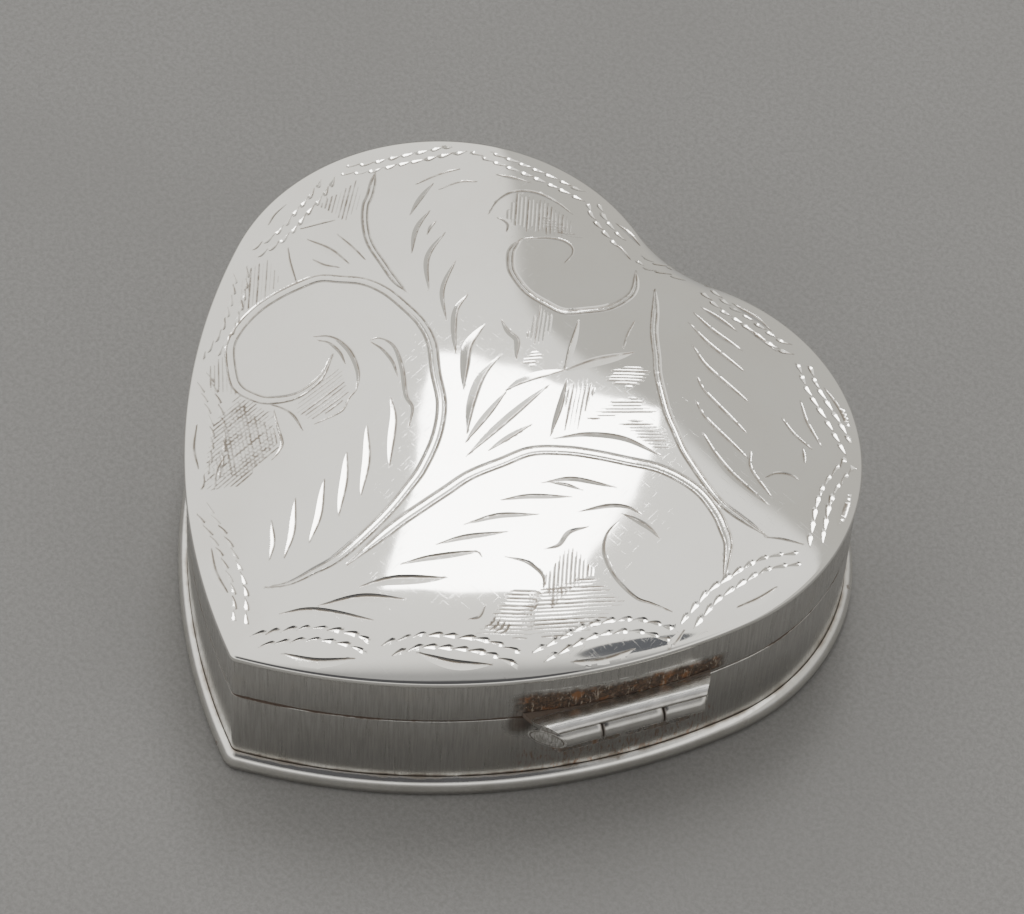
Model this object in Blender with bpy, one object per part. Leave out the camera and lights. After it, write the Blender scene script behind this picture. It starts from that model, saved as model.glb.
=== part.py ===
"""A heart-shaped silver music box: an engraved, domed lid on a side hinge over a key-wound cylinder movement.

Lengths are in millimetres until solid() turns them into metres. +X is the box's width, +Y points from the heart's
tip to its cleft and +Z is up. The origin is on the table, under the middle of the box.
"""

import math

import bmesh
import bpy
from mathutils import Matrix, Vector

MM = 0.001
GAP = 0.1  # between pieces that are soldered, screwed or laid together
RUN = 0.06  # radial clearance of a shaft in its hole

# The heart: two lobe arcs, two long side arcs, a hollow arc in the cleft and a small arc at the tip.
LOBE_X, LOBE_Y, LOBE_R = 12.6, 10.94, 22.4
SIDE_R = 65.6
CLEFT_R = 15.6
SHARP_TIP_Y = -33.56
TIP_R = 0.9
CLEFT_STEPS, LOBE_STEPS, SIDE_STEPS, TIP_STEPS = 3, 15, 9, 2

# The case, from the table up.
WALL = 1.0
BEAD_OUT, BEAD_H = 0.95, 2.35
BASE_Z0, BASE_Z1 = 1.9, 2.6
SEAM_Z = 12.2
BEZEL_OUT, BEZEL_STEP, BEZEL_IN = -1.25, -2.6, -1.85
BEZEL_Z0, BEZEL_Z1 = 6.0, 14.3
COVER_Z0, COVER_Z1 = 13.3, 13.9
LID_BAND_Z1 = 18.2
SHOULDER_Z = 19.0
DOME_H = 3.4
LID_T = 0.8

# The hinge, in its own frame: s along the pin, o outwards from the wall, z up.
HINGE_ANGLE = math.radians(-30.2)  # where it touches the wall, seen from the side arc's centre
PIN_O, PIN_Z, PIN_R = 1.33, 10.9, 0.45
KNUCKLE_R = 1.2
HINGE_S0, HINGE_S1 = -11.2, 7.9  # its ends, where o is 0
BEVEL_0, BEVEL_1 = 1.35, 0.6  # how fast each end runs in on the way out
SPLIT_S0, SPLIT_S1 = -4.0, 2.3  # where the knuckles meet

# The movement.
BED_Z0, BED_Z1 = 2.7, 3.7
BARREL_X, BARREL_Y = -15.5, 9.0
AXIS_Z = 8.6  # of the cylinder and the governor wheel
CYLINDER_R, CYLINDER_X0, CYLINDER_X1 = 3.4, -3.0, 14.6
CROWN_TEETH, PINION_TEETH = 30, 9
CROWN_R = 9.3  # middle of the crown teeth
TRAIN_TEETH, LEAF_TEETH, TRAIN_MODULE = 28, 8, 0.3
GOVERNOR_Y = BARREL_Y + TRAIN_MODULE * (TRAIN_TEETH + LEAF_TEETH) / 2
WORM_TEETH, WORM_WHEEL_R, WORM_R = 14, 2.5, 0.85
WORM_X = 19.5
WORM_Y = GOVERNOR_Y + WORM_WHEEL_R + WORM_R
COMB_TEETH, COMB_PITCH = 18, 0.95
ARBOR_R = 1.2
BRIDGE_Z0, BRIDGE_Z1 = 11.4, 12.0
BRIDGE_POST_Y = 12.4  # from the barrel's axis
CLICK_X, CLICK_Y = BARREL_X + 2.3, BARREL_Y + 5.4
CYLINDER_STEPS = 32
PIN_H = 0.4
STOP_X, STOP_Y, STOP_R, STOP_TOP = 24.6, 16.6, 0.55, 19.7
MOVEMENT_SCREWS = ((-24.5, 2.0), (19.0, 0.5), (3.0, 19.5))

SILVER = ("silver", (0.86, 0.85, 0.82), 1.0, 0.12)
BAND_SILVER = ("band_silver", (0.62, 0.61, 0.58), 1.0, 0.22)
BRASS = ("brass", (0.83, 0.62, 0.28), 1.0, 0.25)
STEEL = ("steel", (0.56, 0.57, 0.58), 1.0, 0.25)
BLUE_STEEL = ("blue_steel", (0.10, 0.13, 0.24), 1.0, 0.3)
CLEAR = ("clear_cover", (0.92, 0.95, 0.95), 0.0, 0.05)


# ---------------------------------------------------------------- helpers


def clear_scene():
    for obj in list(bpy.data.objects):
        bpy.data.objects.remove(obj, do_unlink=True)


def material(spec):
    name, colour, metallic, roughness = spec
    found = bpy.data.materials.get(name)
    if found:
        return found
    made = bpy.data.materials.new(name)
    made.use_nodes = True
    shader = made.node_tree.nodes["Principled BSDF"]
    shader.inputs["Base Color"].default_value = (*colour, 1.0)
    shader.inputs["Metallic"].default_value = metallic
    shader.inputs["Roughness"].default_value = roughness
    return made


def pivot(name, point):
    """An empty on a joint's axis, to which that joint's pieces are parented."""
    empty = bpy.data.objects.new(name, None)
    empty.location = Vector(point) * MM
    bpy.context.collection.objects.link(empty)
    return empty


def solid(name, bm, spec, parent=None, smooth_degrees=30):
    """An object from a bmesh whose corners are in millimetres in the box's frame."""
    bm.normal_update()
    bmesh.ops.recalc_face_normals(bm, faces=bm.faces)
    origin = parent.location.copy() if parent else Vector()
    bm.transform(Matrix.Translation(-origin) @ Matrix.Scale(MM, 4))
    mesh = bpy.data.meshes.new(name)
    bm.to_mesh(mesh)
    bm.free()
    mesh.shade_smooth()
    mesh.set_sharp_from_angle(angle=math.radians(smooth_degrees))
    mesh.materials.append(material(spec))
    obj = bpy.data.objects.new(name, mesh)
    obj.parent = parent
    bpy.context.collection.objects.link(obj)
    return obj


def circle(radius, steps, cx=0.0, cy=0.0, turn=0.0):
    angles = [turn + 2 * math.pi * i / steps for i in range(steps)]
    return [(cx + radius * math.cos(a), cy + radius * math.sin(a)) for a in angles]


def arc(cx, cy, radius, start, end, steps):
    angles = [start + (end - start) * i / steps for i in range(steps + 1)]
    return [(cx + radius * math.cos(a), cy + radius * math.sin(a)) for a in angles]


def bridge(bm, first, second):
    """Quads between two closed loops of equally many corners."""
    count = len(first)
    pairs = [(i, (i + 1) % count) for i in range(count)]
    return [bm.faces.new((first[i], first[j], second[j], second[i])) for i, j in pairs]


def loop_of(bm, points):
    return [bm.verts.new(p) for p in points]


def prism(outline, low, high):
    """An outline in X and Y, carried from height low to height high."""
    bm = bmesh.new()
    bottom = loop_of(bm, [(*p, low) for p in outline])
    top = loop_of(bm, [(*p, high) for p in outline])
    bridge(bm, bottom, top)
    bm.faces.new(bottom[::-1])
    bm.faces.new(top)
    return bm


def onto_x_axis(bm, x, y, z):
    """Turns a shape made around +Z so that its axis lies along +X, through a point."""
    turn = Matrix(((0, 0, 1, x), (1, 0, 0, y), (0, 1, 0, z), (0, 0, 0, 1)))
    bm.transform(turn)
    return bm


def lathe(profile, steps, x=0.0, y=0.0):
    """A turned piece around a vertical axis. A profile is a closed list of (radius, z); radius 0 is on the axis."""
    bm = bmesh.new()
    loops = []
    for radius, z in profile:
        if radius == 0:
            loops.append([bm.verts.new((x, y, z))])
        else:
            loops.append(loop_of(bm, [(*p, z) for p in circle(radius, steps, x, y)]))
    for first, second in zip(loops, loops[1:] + loops[:1]):
        if len(first) == len(second) == 1:
            continue
        if len(first) == len(second):
            bridge(bm, first, second)
            continue
        tip, rim = (first[0], second) if len(first) == 1 else (second[0], first)
        for i in range(steps):
            bm.faces.new((tip, rim[i], rim[(i + 1) % steps]))
    return bm


def box(low, high):
    bm = bmesh.new()
    size = Vector(high) - Vector(low)
    middle = (Vector(high) + Vector(low)) / 2
    bmesh.ops.create_cube(bm, size=1.0, matrix=Matrix.Translation(middle) @ Matrix.Diagonal((*size, 1.0)))
    return bm


def cut(obj, bm):
    """Cuts a shape away from an object with an EXACT Boolean."""
    cutter = solid(f"cutter_{obj.name}_{len(obj.modifiers)}", bm, STEEL, obj.parent)
    cutter.hide_render = True
    cutter.display_type = "WIRE"
    modifier = obj.modifiers.new("cut", "BOOLEAN")
    modifier.object = cutter
    modifier.operation = "DIFFERENCE"


def drill(obj, x, y, radius, low, high, steps=12):
    cut(obj, prism(circle(radius, steps, x, y), low, high))


def drill_x(obj, y, z, radius, low, high, steps=12):
    cut(obj, onto_x_axis(prism(circle(radius, steps), low, high), 0, y, z))


# ---------------------------------------------------------------- the heart


def side_centre():
    """Centre of the right side arc: it touches the right lobe from inside the long circle and meets the tip."""
    tip, lobe = Vector((0, SHARP_TIP_Y)), Vector((LOBE_X, LOBE_Y))
    apart = (lobe - tip).length
    along = (lobe - tip) / apart
    reach = (SIDE_R**2 - (SIDE_R - LOBE_R) ** 2 + apart**2) / (2 * apart)
    across = math.sqrt(SIDE_R**2 - reach**2)
    return tip + along * reach + Vector((-along.y, along.x)) * across


SIDE_C = side_centre()


def heart(offset=0.0):
    """The heart's outline, offset outwards from the wall line, as corners that match between offsets."""
    cleft_y = LOBE_Y + math.sqrt((LOBE_R + CLEFT_R) ** 2 - LOBE_X**2)
    lobe_start = math.atan2(cleft_y - LOBE_Y, -LOBE_X)
    lobe_end = math.atan2(LOBE_Y - SIDE_C.y, LOBE_X - SIDE_C.x)
    tip_r = max(TIP_R + offset, 0.05)
    tip_y = SIDE_C.y - math.sqrt((SIDE_R + offset - tip_r) ** 2 - SIDE_C.x**2)
    tip_start = math.atan2(tip_y - SIDE_C.y, -SIDE_C.x)
    right = arc(0, cleft_y, CLEFT_R - offset, -math.pi / 2, lobe_start - math.pi, CLEFT_STEPS)
    right[0] = (0.0, right[0][1])
    right += arc(LOBE_X, LOBE_Y, LOBE_R + offset, lobe_start, lobe_end, LOBE_STEPS)[1:]
    right += arc(*SIDE_C, SIDE_R + offset, lobe_end, tip_start, SIDE_STEPS)[1:]
    right += arc(0, tip_y, tip_r, tip_start, -math.pi / 2, TIP_STEPS)[1:]
    right[-1] = (0.0, right[-1][1])
    left = [(-x, y) for x, y in right[1:-1]]
    return right + left[::-1]


def heart_ring(section):
    """A closed section of (offset, z) corners carried round the heart."""
    bm = bmesh.new()
    loops = [loop_of(bm, [(*p, z) for p in heart(offset)]) for offset, z in section]
    for first, second in zip(loops, loops[1:] + loops[:1]):
        bridge(bm, first, second)
    return bm


def domed_heart():
    """The lid's top plate: a shell of even thickness whose rim is rounded over and whose middle swells up."""
    bm = bmesh.new()

    def dome_z(share):
        return SHOULDER_Z + DOME_H * (1 - share**2.4) ** 0.9

    def loops_of(offset, drop, shares):
        rim = heart(offset)
        return [
            loop_of(bm, [(x * f, y * f, dome_z(f) - drop) for x, y in rim]) for f in shares
        ]

    edge = [
        loop_of(bm, [(*p, z) for p in heart(offset)])
        for offset, z in ((-WALL, LID_BAND_Z1 + GAP), (0.1, LID_BAND_Z1 + GAP), (0.2, SHOULDER_Z - 0.3))
    ]
    outer = loops_of(0.05, 0, (1.0, 0.92, 0.78, 0.56, 0.28))
    inner = loops_of(-WALL, LID_T, (0.3, 0.62, 0.86, 0.985))
    for first, second in zip(edge + outer, (edge + outer)[1:]):
        bridge(bm, first, second)
    bm.faces.new(outer[-1])
    bm.faces.new(inner[0])
    for first, second in zip(inner, inner[1:] + edge[:1]):
        bridge(bm, first, second)
    return bm


def make_case():
    base = solid("base_plate", prism(heart(-WALL - GAP), BASE_Z0, BASE_Z1), SILVER)
    drill(base, BARREL_X, BARREL_Y, ARBOR_R + 0.3, BASE_Z0 - 1, BASE_Z1 + 1, 16)
    for x, y in MOVEMENT_SCREWS:
        drill(base, x, y, 0.8, BASE_Z0 - 1, BASE_Z1 + 1)
    low = 0.4
    high = SEAM_Z - GAP / 2
    solid("body_band", heart_ring([(0, low), (0, high), (-WALL, high), (-WALL, low)]), BAND_SILVER)
    bead = [
        (GAP, 0), (0.7, 0), (0.88, 0.3), (BEAD_OUT, 0.85), (0.9, 1.35), (0.68, 1.85), (0.4, 2.2), (GAP, BEAD_H),
    ]
    solid("foot_bead", heart_ring(bead), BAND_SILVER, smooth_degrees=50)
    bezel = [
        (BEZEL_OUT, BEZEL_Z0),
        (BEZEL_OUT, BEZEL_Z1),
        (BEZEL_IN, BEZEL_Z1),
        (BEZEL_IN, COVER_Z0 - GAP),
        (BEZEL_STEP, COVER_Z0 - GAP),
        (BEZEL_STEP, COVER_Z0 - 1.2),
        (BEZEL_IN, COVER_Z0 - 2.0),
        (BEZEL_IN, BEZEL_Z0),
    ]
    solid("inner_bezel", heart_ring(bezel), SILVER)
    cover = solid("dust_cover", prism(heart(BEZEL_IN - 0.15), COVER_Z0, COVER_Z1), CLEAR)
    drill(cover, STOP_X, STOP_Y, STOP_R + 0.3, COVER_Z0 - 1, COVER_Z1 + 1)


def make_lid(lid):
    low = SEAM_Z + GAP / 2
    solid(
        "lid_band",
        heart_ring([(0, low), (0, LID_BAND_Z1), (-WALL, LID_BAND_Z1), (-WALL, low)]),
        BAND_SILVER,
        lid,
    )
    solid("lid_top", domed_heart(), SILVER, lid, 40)
    # A half-moon tab on the lid's edge, straight across the box from the hinge.
    away = HINGE_ANGLE + math.pi
    half = math.radians(8.5)
    inner = arc(-LOBE_X, LOBE_Y, LOBE_R + GAP, away - half, away + half, 6)
    middle = Vector((-LOBE_X, LOBE_Y)) + Vector((math.cos(away), math.sin(away))) * (LOBE_R - 2.2)
    reach = (Vector(inner[0]) - middle).length
    spread = (Vector(inner[-1]) - middle).angle_signed(Vector((math.cos(away), math.sin(away))))
    outer = arc(middle.x, middle.y, reach, away + abs(spread), away - abs(spread), 8)
    solid("thumb_lift", prism(inner + outer[1:-1], low + 0.15, low + 1.15), SILVER, lid)


# ---------------------------------------------------------------- the hinge


def hinge_matrix():
    """Takes the hinge's frame (s, o, z) to the box's frame."""
    out = Vector((math.cos(HINGE_ANGLE), math.sin(HINGE_ANGLE), 0))
    along = Vector((-out.y, out.x, 0))
    middle = Vector((*SIDE_C, 0)) + out * SIDE_R
    return Matrix(
        (
            (along.x, out.x, 0, middle.x),
            (along.y, out.y, 0, middle.y),
            (0, 0, 1, 0),
            (0, 0, 0, 1),
        )
    )


def wall_at(s):
    """How far out the curved wall's face stands at a place along the straight hinge, with the solder gap."""
    return math.sqrt((SIDE_R + GAP) ** 2 - s**2) - SIDE_R


def first_end(o):
    return HINGE_S0 + BEVEL_0 * o


def last_end(o):
    return HINGE_S1 - BEVEL_1 * o


def leaf(section, shorter=(0.0, 0.0), stations=8):
    """A leaf along the whole hinge. A corner whose o is None lies on the curved wall."""
    bm = bmesh.new()
    loops = []
    for i in range(stations + 1):
        share = i / stations
        corners = []
        for o, z in section:
            start, end = first_end(o or 0.0) + shorter[0], last_end(o or 0.0) - shorter[1]
            s = start + (end - start) * share
            corners.append((s, wall_at(s) if o is None else o, z))
        loops.append(loop_of(bm, corners))
    for first, second in zip(loops, loops[1:]):
        bridge(bm, first, second)
    bm.faces.new(loops[0])
    bm.faces.new(loops[-1])
    bm.transform(hinge_matrix())
    return bm


def knuckle(start, end, outer, inner=0.0, steps=18):
    """A tube or rod on the pin's line between two ends, each a function of o."""
    bm = bmesh.new()
    loops = []
    for radius in (outer, inner) if inner else (outer,):
        ring = circle(radius, steps, PIN_O, PIN_Z)
        loops += [loop_of(bm, [(place(o), o, z) for o, z in ring]) for place in (start, end)]
    bridge(bm, loops[0], loops[1])
    if inner:
        bridge(bm, loops[2], loops[3])
        bridge(bm, loops[0], loops[2])
        bridge(bm, loops[1], loops[3])
    else:
        bm.faces.new(loops[0])
        bm.faces.new(loops[1])
    bm.transform(hinge_matrix())
    return bm


def pin_arc(degrees):
    """Points just clear of the knuckles, at these angles about the pin."""
    radius = KNUCKLE_R + GAP
    points = [math.radians(d) for d in degrees]
    return [(PIN_O + radius * math.cos(a), PIN_Z + radius * math.sin(a)) for a in points]


def make_hinge(lid):
    top = [(None, 13.05), (None, SEAM_Z + 0.2), *pin_arc((118, 104, 90, 76, 66)), (1.95, 12.42), (1.66, 12.76), (1.3, 12.94), (0.8, 13.0)]
    solid("hinge_lid_plate", leaf(top), SILVER, lid, 50)
    bottom = [(None, 6.2), (None, 10.0), *pin_arc((-158, -145, -132, -118)), (0.62, 9.3), (0.55, 6.4)]
    solid("hinge_base_leaf", leaf(bottom, (2.6, 1.4)), SILVER)
    bore, half = PIN_R + RUN, GAP / 2
    solid("hinge_knuckle_left", knuckle(first_end, lambda o: SPLIT_S0 - half, KNUCKLE_R, bore), SILVER, lid)
    solid("hinge_knuckle_right", knuckle(lambda o: SPLIT_S1 + half, last_end, KNUCKLE_R, bore), SILVER, lid)
    solid(
        "hinge_knuckle_middle",
        knuckle(lambda o: SPLIT_S0 + half, lambda o: SPLIT_S1 - half, KNUCKLE_R, bore),
        SILVER,
    )
    pin = knuckle(lambda o: first_end(o) + 0.03, lambda o: last_end(o) - 0.03, PIN_R, steps=16)
    solid("hinge_pin", pin, STEEL)


# ---------------------------------------------------------------- the movement


def gear(teeth, root, tip, low, high, root_share=0.56, tip_share=0.24):
    """A spur wheel around +Z. A tooth is centred on angle 0."""
    pitch = 2 * math.pi / teeth
    outline = []
    for i in range(teeth):
        for radius, share in ((root, -root_share), (tip, -tip_share), (tip, tip_share), (root, root_share)):
            angle = pitch * (i + share / 2)
            outline.append((radius * math.cos(angle), radius * math.sin(angle)))
    return prism(outline, low, high)


def turned(bm, angle, x=0.0, y=0.0):
    bm.transform(Matrix.Translation((x, y, 0)) @ Matrix.Rotation(angle, 4, "Z"))
    return bm


def screw(name, x, y, head_low, head_high, head_r, shank_r, shank_end, parent=None):
    """A slotted screw. The head lies between its two heights, and the shank runs on to shank_end."""
    outer, inner = (head_high, head_low) if shank_end < head_low else (head_low, head_high)
    profile = [(0, outer), (head_r, outer), (head_r, inner), (shank_r, inner), (shank_r, shank_end), (0, shank_end)]
    made = solid(name, lathe(profile, 14, x, y), BLUE_STEEL, parent)
    depth = 0.45 * (outer - inner)
    slot = sorted((outer - depth, outer + math.copysign(0.2, depth)))
    cut(made, box((x - head_r - 0.3, y - 0.16, slot[0]), (x + head_r + 0.3, y + 0.16, slot[1])))


def make_bedplate():
    outline = [(-28.0, 3.0), (-25.5, -3.0), (-20.0, -6.0), (-6.0, -11.5), (17.5, -11.5), (24.0, -3.0)]
    outline += [(26.8, 9.0), (26.8, 19.5), (22.0, 22.6), (-15.0, 24.5), (-25.0, 19.5), (-28.0, 12.0)]
    bed = solid("bedplate", prism(outline, BED_Z0, BED_Z1), BRASS)
    drill(bed, BARREL_X, BARREL_Y, ARBOR_R + RUN, BED_Z0 - 1, BED_Z1 + 1, 16)
    for x, y in MOVEMENT_SCREWS:
        drill(bed, x, y, 0.55, BED_Z0 - 1, BED_Z1 + 1)
    drill(bed, WORM_X, WORM_Y, 0.4, BED_Z0 + 0.3, BED_Z1 + 1)
    drill(bed, STOP_X, STOP_Y, STOP_R + RUN, BED_Z0 + 0.2, BED_Z1 + 1)
    for i, (x, y) in enumerate(MOVEMENT_SCREWS, 1):
        screw(f"movement_screw_{i}", x, y, 1.2, 1.8, 1.3, 0.5, BED_Z1 - 0.1)


def make_winding(key):
    """What turns when the box is wound: key, arbor and ratchet wheel, all on the barrel's axis."""
    arbor = [(0, 0.5), (0.8, 0.5), (0.8, 1.75), (ARBOR_R, 1.75), (ARBOR_R, 5.95), (1.6, 5.95), (1.6, 10.0)]
    arbor += [(ARBOR_R, 10.0), (ARBOR_R, 12.1), (0.9, 12.1), (0.9, 13.0), (0, 13.0)]
    solid("winding_arbor", lathe(arbor, 16, BARREL_X, BARREL_Y), STEEL, key)
    wing = arc(5.2, 0, 3.4, -2.6, 2.6, 10)
    outline = [(BARREL_X + x, BARREL_Y + y) for x, y in wing]
    outline += [(BARREL_X - x, BARREL_Y - y) for x, y in wing]
    handle = solid("winding_key", prism(outline, 0.45, 1.65), SILVER, key)
    drill(handle, BARREL_X, BARREL_Y, 0.85, 0, 2, 16)
    for side in (-1, 1):
        drill(handle, BARREL_X + side * 5.4, BARREL_Y, 1.6, 0, 2, 14)
    teeth = 16
    outline = []
    for i in range(teeth):
        angle = 2 * math.pi * i / teeth
        for radius, lead in ((3.2, 0.0), (2.65, 0.06), (2.8, 0.22)):
            outline.append(((radius * math.cos(angle + lead)), radius * math.sin(angle + lead)))
    wheel = solid("ratchet_wheel", turned(prism(outline, 12.15, 12.65), 0, BARREL_X, BARREL_Y), STEEL, key)
    drill(wheel, BARREL_X, BARREL_Y, 0.95, 12, 13, 16)


def make_barrel(barrel):
    """The spring's drum on a crown wheel that drives the cylinder, with the spring inside."""
    inner, outer = CROWN_R - 0.85, CROWN_R + 0.85
    pitch_z = AXIS_Z - CROWN_R * PINION_TEETH / CROWN_TEETH
    low, high, tip = pitch_z - 1.5, pitch_z - 0.6, pitch_z + 0.35
    bm = bmesh.new()
    angles = []
    for i in range(CROWN_TEETH):
        for share in (-0.17, 0.17):
            angles.append(2 * math.pi * (i + share) / CROWN_TEETH)
    loops = [
        loop_of(bm, [(BARREL_X + r * math.cos(a), BARREL_Y + r * math.sin(a), z) for a in angles])
        for r, z in ((1.3, low), (outer, low), (outer, high), (inner, high), (1.3, high))
    ]
    rings = [bridge(bm, first, second) for first, second in zip(loops, loops[1:] + loops[:1])]
    # Every second face of the flat rim is raised into a tooth.
    for face in bmesh.ops.extrude_discrete_faces(bm, faces=rings[2][::2])["faces"]:
        bmesh.ops.translate(bm, vec=(0, 0, tip - high), verts=face.verts)
    solid("crown_wheel", bm, BRASS, barrel)
    floor, top = high + GAP, 10.2
    drum = [(1.3, floor), (7.8, floor), (7.8, top), (7.2, top), (7.2, floor + 0.5), (1.3, floor + 0.5)]
    solid("spring_barrel", lathe(drum, 32, BARREL_X, BARREL_Y), BRASS, barrel)
    cap = [(1.3, top + GAP), (7.7, top + GAP), (7.7, top + 0.6), (6.9, top + 0.75), (1.3, top + 0.75)]
    solid("barrel_cap", lathe(cap, 32, BARREL_X, BARREL_Y), BRASS, barrel)
    solid("mainspring", spiral(2.0, 6.8, 5, 18, 0.3, floor + 0.8, top - 0.3), BLUE_STEEL, barrel)


def spiral(start_r, end_r, turns, steps, thick, low, high):
    """A flat strip wound on edge."""
    bm = bmesh.new()
    loops = []
    for i in range(turns * steps + 1):
        share = i / (turns * steps)
        radius = start_r + (end_r - start_r) * share
        angle = 2 * math.pi * turns * share
        across = Vector((math.cos(angle), math.sin(angle), 0))
        centre = Vector((BARREL_X, BARREL_Y, 0)) + across * radius
        near, far = centre - across * thick / 2, centre + across * thick / 2
        loops.append(loop_of(bm, [(*near.xy, low), (*far.xy, low), (*far.xy, high), (*near.xy, high)]))
    for first, second in zip(loops, loops[1:]):
        bridge(bm, first, second)
    bm.faces.new(loops[0])
    bm.faces.new(loops[-1])
    return bm


def make_bridge():
    """The bar over the barrel, on two pillars, with the ratchet's click on top."""
    ends = (BARREL_Y - BRIDGE_POST_Y, BARREL_Y + BRIDGE_POST_Y)
    bar = arc(BARREL_X, ends[1], 2.2, 0, math.pi, 8) + arc(BARREL_X, ends[0], 2.2, math.pi, 2 * math.pi, 8)
    waist = [(BARREL_X - 3.6, BARREL_Y + 5), (BARREL_X - 3.6, BARREL_Y - 5)]
    bar[9:9] = waist
    bar += [(BARREL_X + 3.6, BARREL_Y - 5), (BARREL_X + 3.6, BARREL_Y + 5)]
    plate = solid("barrel_bridge", prism(bar, BRIDGE_Z0, BRIDGE_Z1), BRASS)
    drill(plate, BARREL_X, BARREL_Y, ARBOR_R + RUN, BRIDGE_Z0 - 1, BRIDGE_Z1 + 1, 16)
    for i, y in enumerate(ends, 1):
        drill(plate, BARREL_X, y, 0.7, BRIDGE_Z0 - 1, BRIDGE_Z1 + 1)
        post = [(0.7, BED_Z1 + GAP), (1.6, BED_Z1 + GAP), (1.6, BRIDGE_Z0 - GAP), (0.7, BRIDGE_Z0 - GAP)]
        solid(f"bridge_pillar_{i}", lathe(post, 16, BARREL_X, y), BRASS)
        screw(f"bridge_screw_{i}", BARREL_X, y, BRIDGE_Z1 + GAP, BRIDGE_Z1 + 0.6, 1.3, 0.6, 8.0)
    drill(plate, CLICK_X, CLICK_Y, 0.5, BRIDGE_Z1 - 0.5, BRIDGE_Z1 + 1)


def make_click(click):
    x, y = CLICK_X, CLICK_Y
    low, high = BRIDGE_Z1 + GAP, BRIDGE_Z1 + 0.6
    nose = (BARREL_X - 0.6, BARREL_Y + 3.36)
    body = arc(x, y, 1.0, math.radians(-50), math.radians(125), 8)
    body += [(nose[0] - 0.1, nose[1] + 0.6), nose, (nose[0] + 0.4, nose[1] + 0.02)]
    lever = solid("ratchet_click", prism(body, low, high), STEEL, click)
    drill(lever, x, y, 0.5, low - 1, high + 1)
    screw("click_screw", x, y, high + 0.05, high + 0.45, 0.9, 0.42, BRIDGE_Z1 - 0.4)
    # A thin strip on edge that leans on the click's back.
    line = [(x - 1.2, y + 3.6), (x - 2.9, y + 2.9), (x - 3.3, y + 1.4), (x - 2.3, y - 0.3)]
    back = [(px - 0.24, py) for px, py in line[::-1]]
    solid("click_spring", prism(line + back, low, high), BLUE_STEEL)


def make_cylinder(cylinder):
    """The pinned cylinder with its arbor, its driven pinion at the left and the train's first wheel at the right."""

    def along_x(bm):
        return onto_x_axis(bm, 0, BARREL_Y, AXIS_Z)

    arbor = [(0, -7.0), (0.7, -7.0), (0.7, 18.2), (0, 18.2)]
    solid("cylinder_arbor", along_x(lathe(arbor, 14)), STEEL, cylinder)
    solid("pin_cylinder", along_x(pinned_sleeve()), BRASS, cylinder)
    hollow = 0.72
    rp = CROWN_R * PINION_TEETH / CROWN_TEETH
    # A tooth gap faces down, where a crown tooth stands.
    pinion = gear(PINION_TEETH, rp - 0.6, rp + 0.4, -6.8, -5.4, 0.6, 0.2)
    turned(pinion, -math.pi / 2 + math.pi / PINION_TEETH)
    made = solid("cylinder_pinion", along_x(pinion), STEEL, cylinder)
    drill_x(made, BARREL_Y, AXIS_Z, hollow, -8, -5, 14)
    rt = TRAIN_MODULE * TRAIN_TEETH / 2
    wheel = gear(TRAIN_TEETH, rt - 0.38, rt + 0.25, 15.4, 16.4, 0.6, 0.22)
    made = solid("train_wheel", along_x(wheel), BRASS, cylinder)
    drill_x(made, BARREL_Y, AXIS_Z, hollow, 15, 17, 14)


def comb_x(tooth):
    """The middle of a comb tooth, which its pins pass."""
    return (CYLINDER_X0 + CYLINDER_X1) / 2 + (tooth - (COMB_TEETH - 1) / 2) * COMB_PITCH


def pinned_sleeve():
    """The cylinder, made around +Z: a narrow band of faces for each comb tooth, some of them raised into pins."""
    bm = bmesh.new()
    places = [CYLINDER_X0]
    for tooth in range(COMB_TEETH):
        places += [comb_x(tooth) - 0.11, comb_x(tooth) + 0.11]
    places.append(CYLINDER_X1)
    loops = [loop_of(bm, [(*p, x) for p in circle(CYLINDER_R, CYLINDER_STEPS)]) for x in places]
    inner = [loop_of(bm, [(*p, x) for p in circle(0.72, CYLINDER_STEPS)]) for x in (CYLINDER_X1, CYLINDER_X0)]
    loops += inner
    bands = [bridge(bm, first, second) for first, second in zip(loops, loops[1:] + loops[:1])]
    pins = []
    for tooth in range(COMB_TEETH):
        notes = {(5 * tooth + 13 * beat + 3 * tooth * beat) % CYLINDER_STEPS for beat in range(4)}
        pins += [bands[2 * tooth + 1][note] for note in notes]
    for face in bmesh.ops.extrude_discrete_faces(bm, faces=pins)["faces"]:
        middle = face.calc_center_median()
        out = Vector((middle.x, middle.y, 0)).normalized() * PIN_H
        for vert in face.verts:
            vert.co = middle + (vert.co - middle) * 0.6 + out
    return bm


def bracket(name, outline, low_x, high_x, holes):
    """An upright plate across the X axis, its outline in Y and Z."""
    bm = onto_x_axis(prism(outline, low_x, high_x), 0, 0, 0)
    made = solid(name, bm, BRASS)
    for y, z, radius in holes:
        drill_x(made, y, z, radius, low_x - 1, high_x + 1, 14)
    return made


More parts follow.
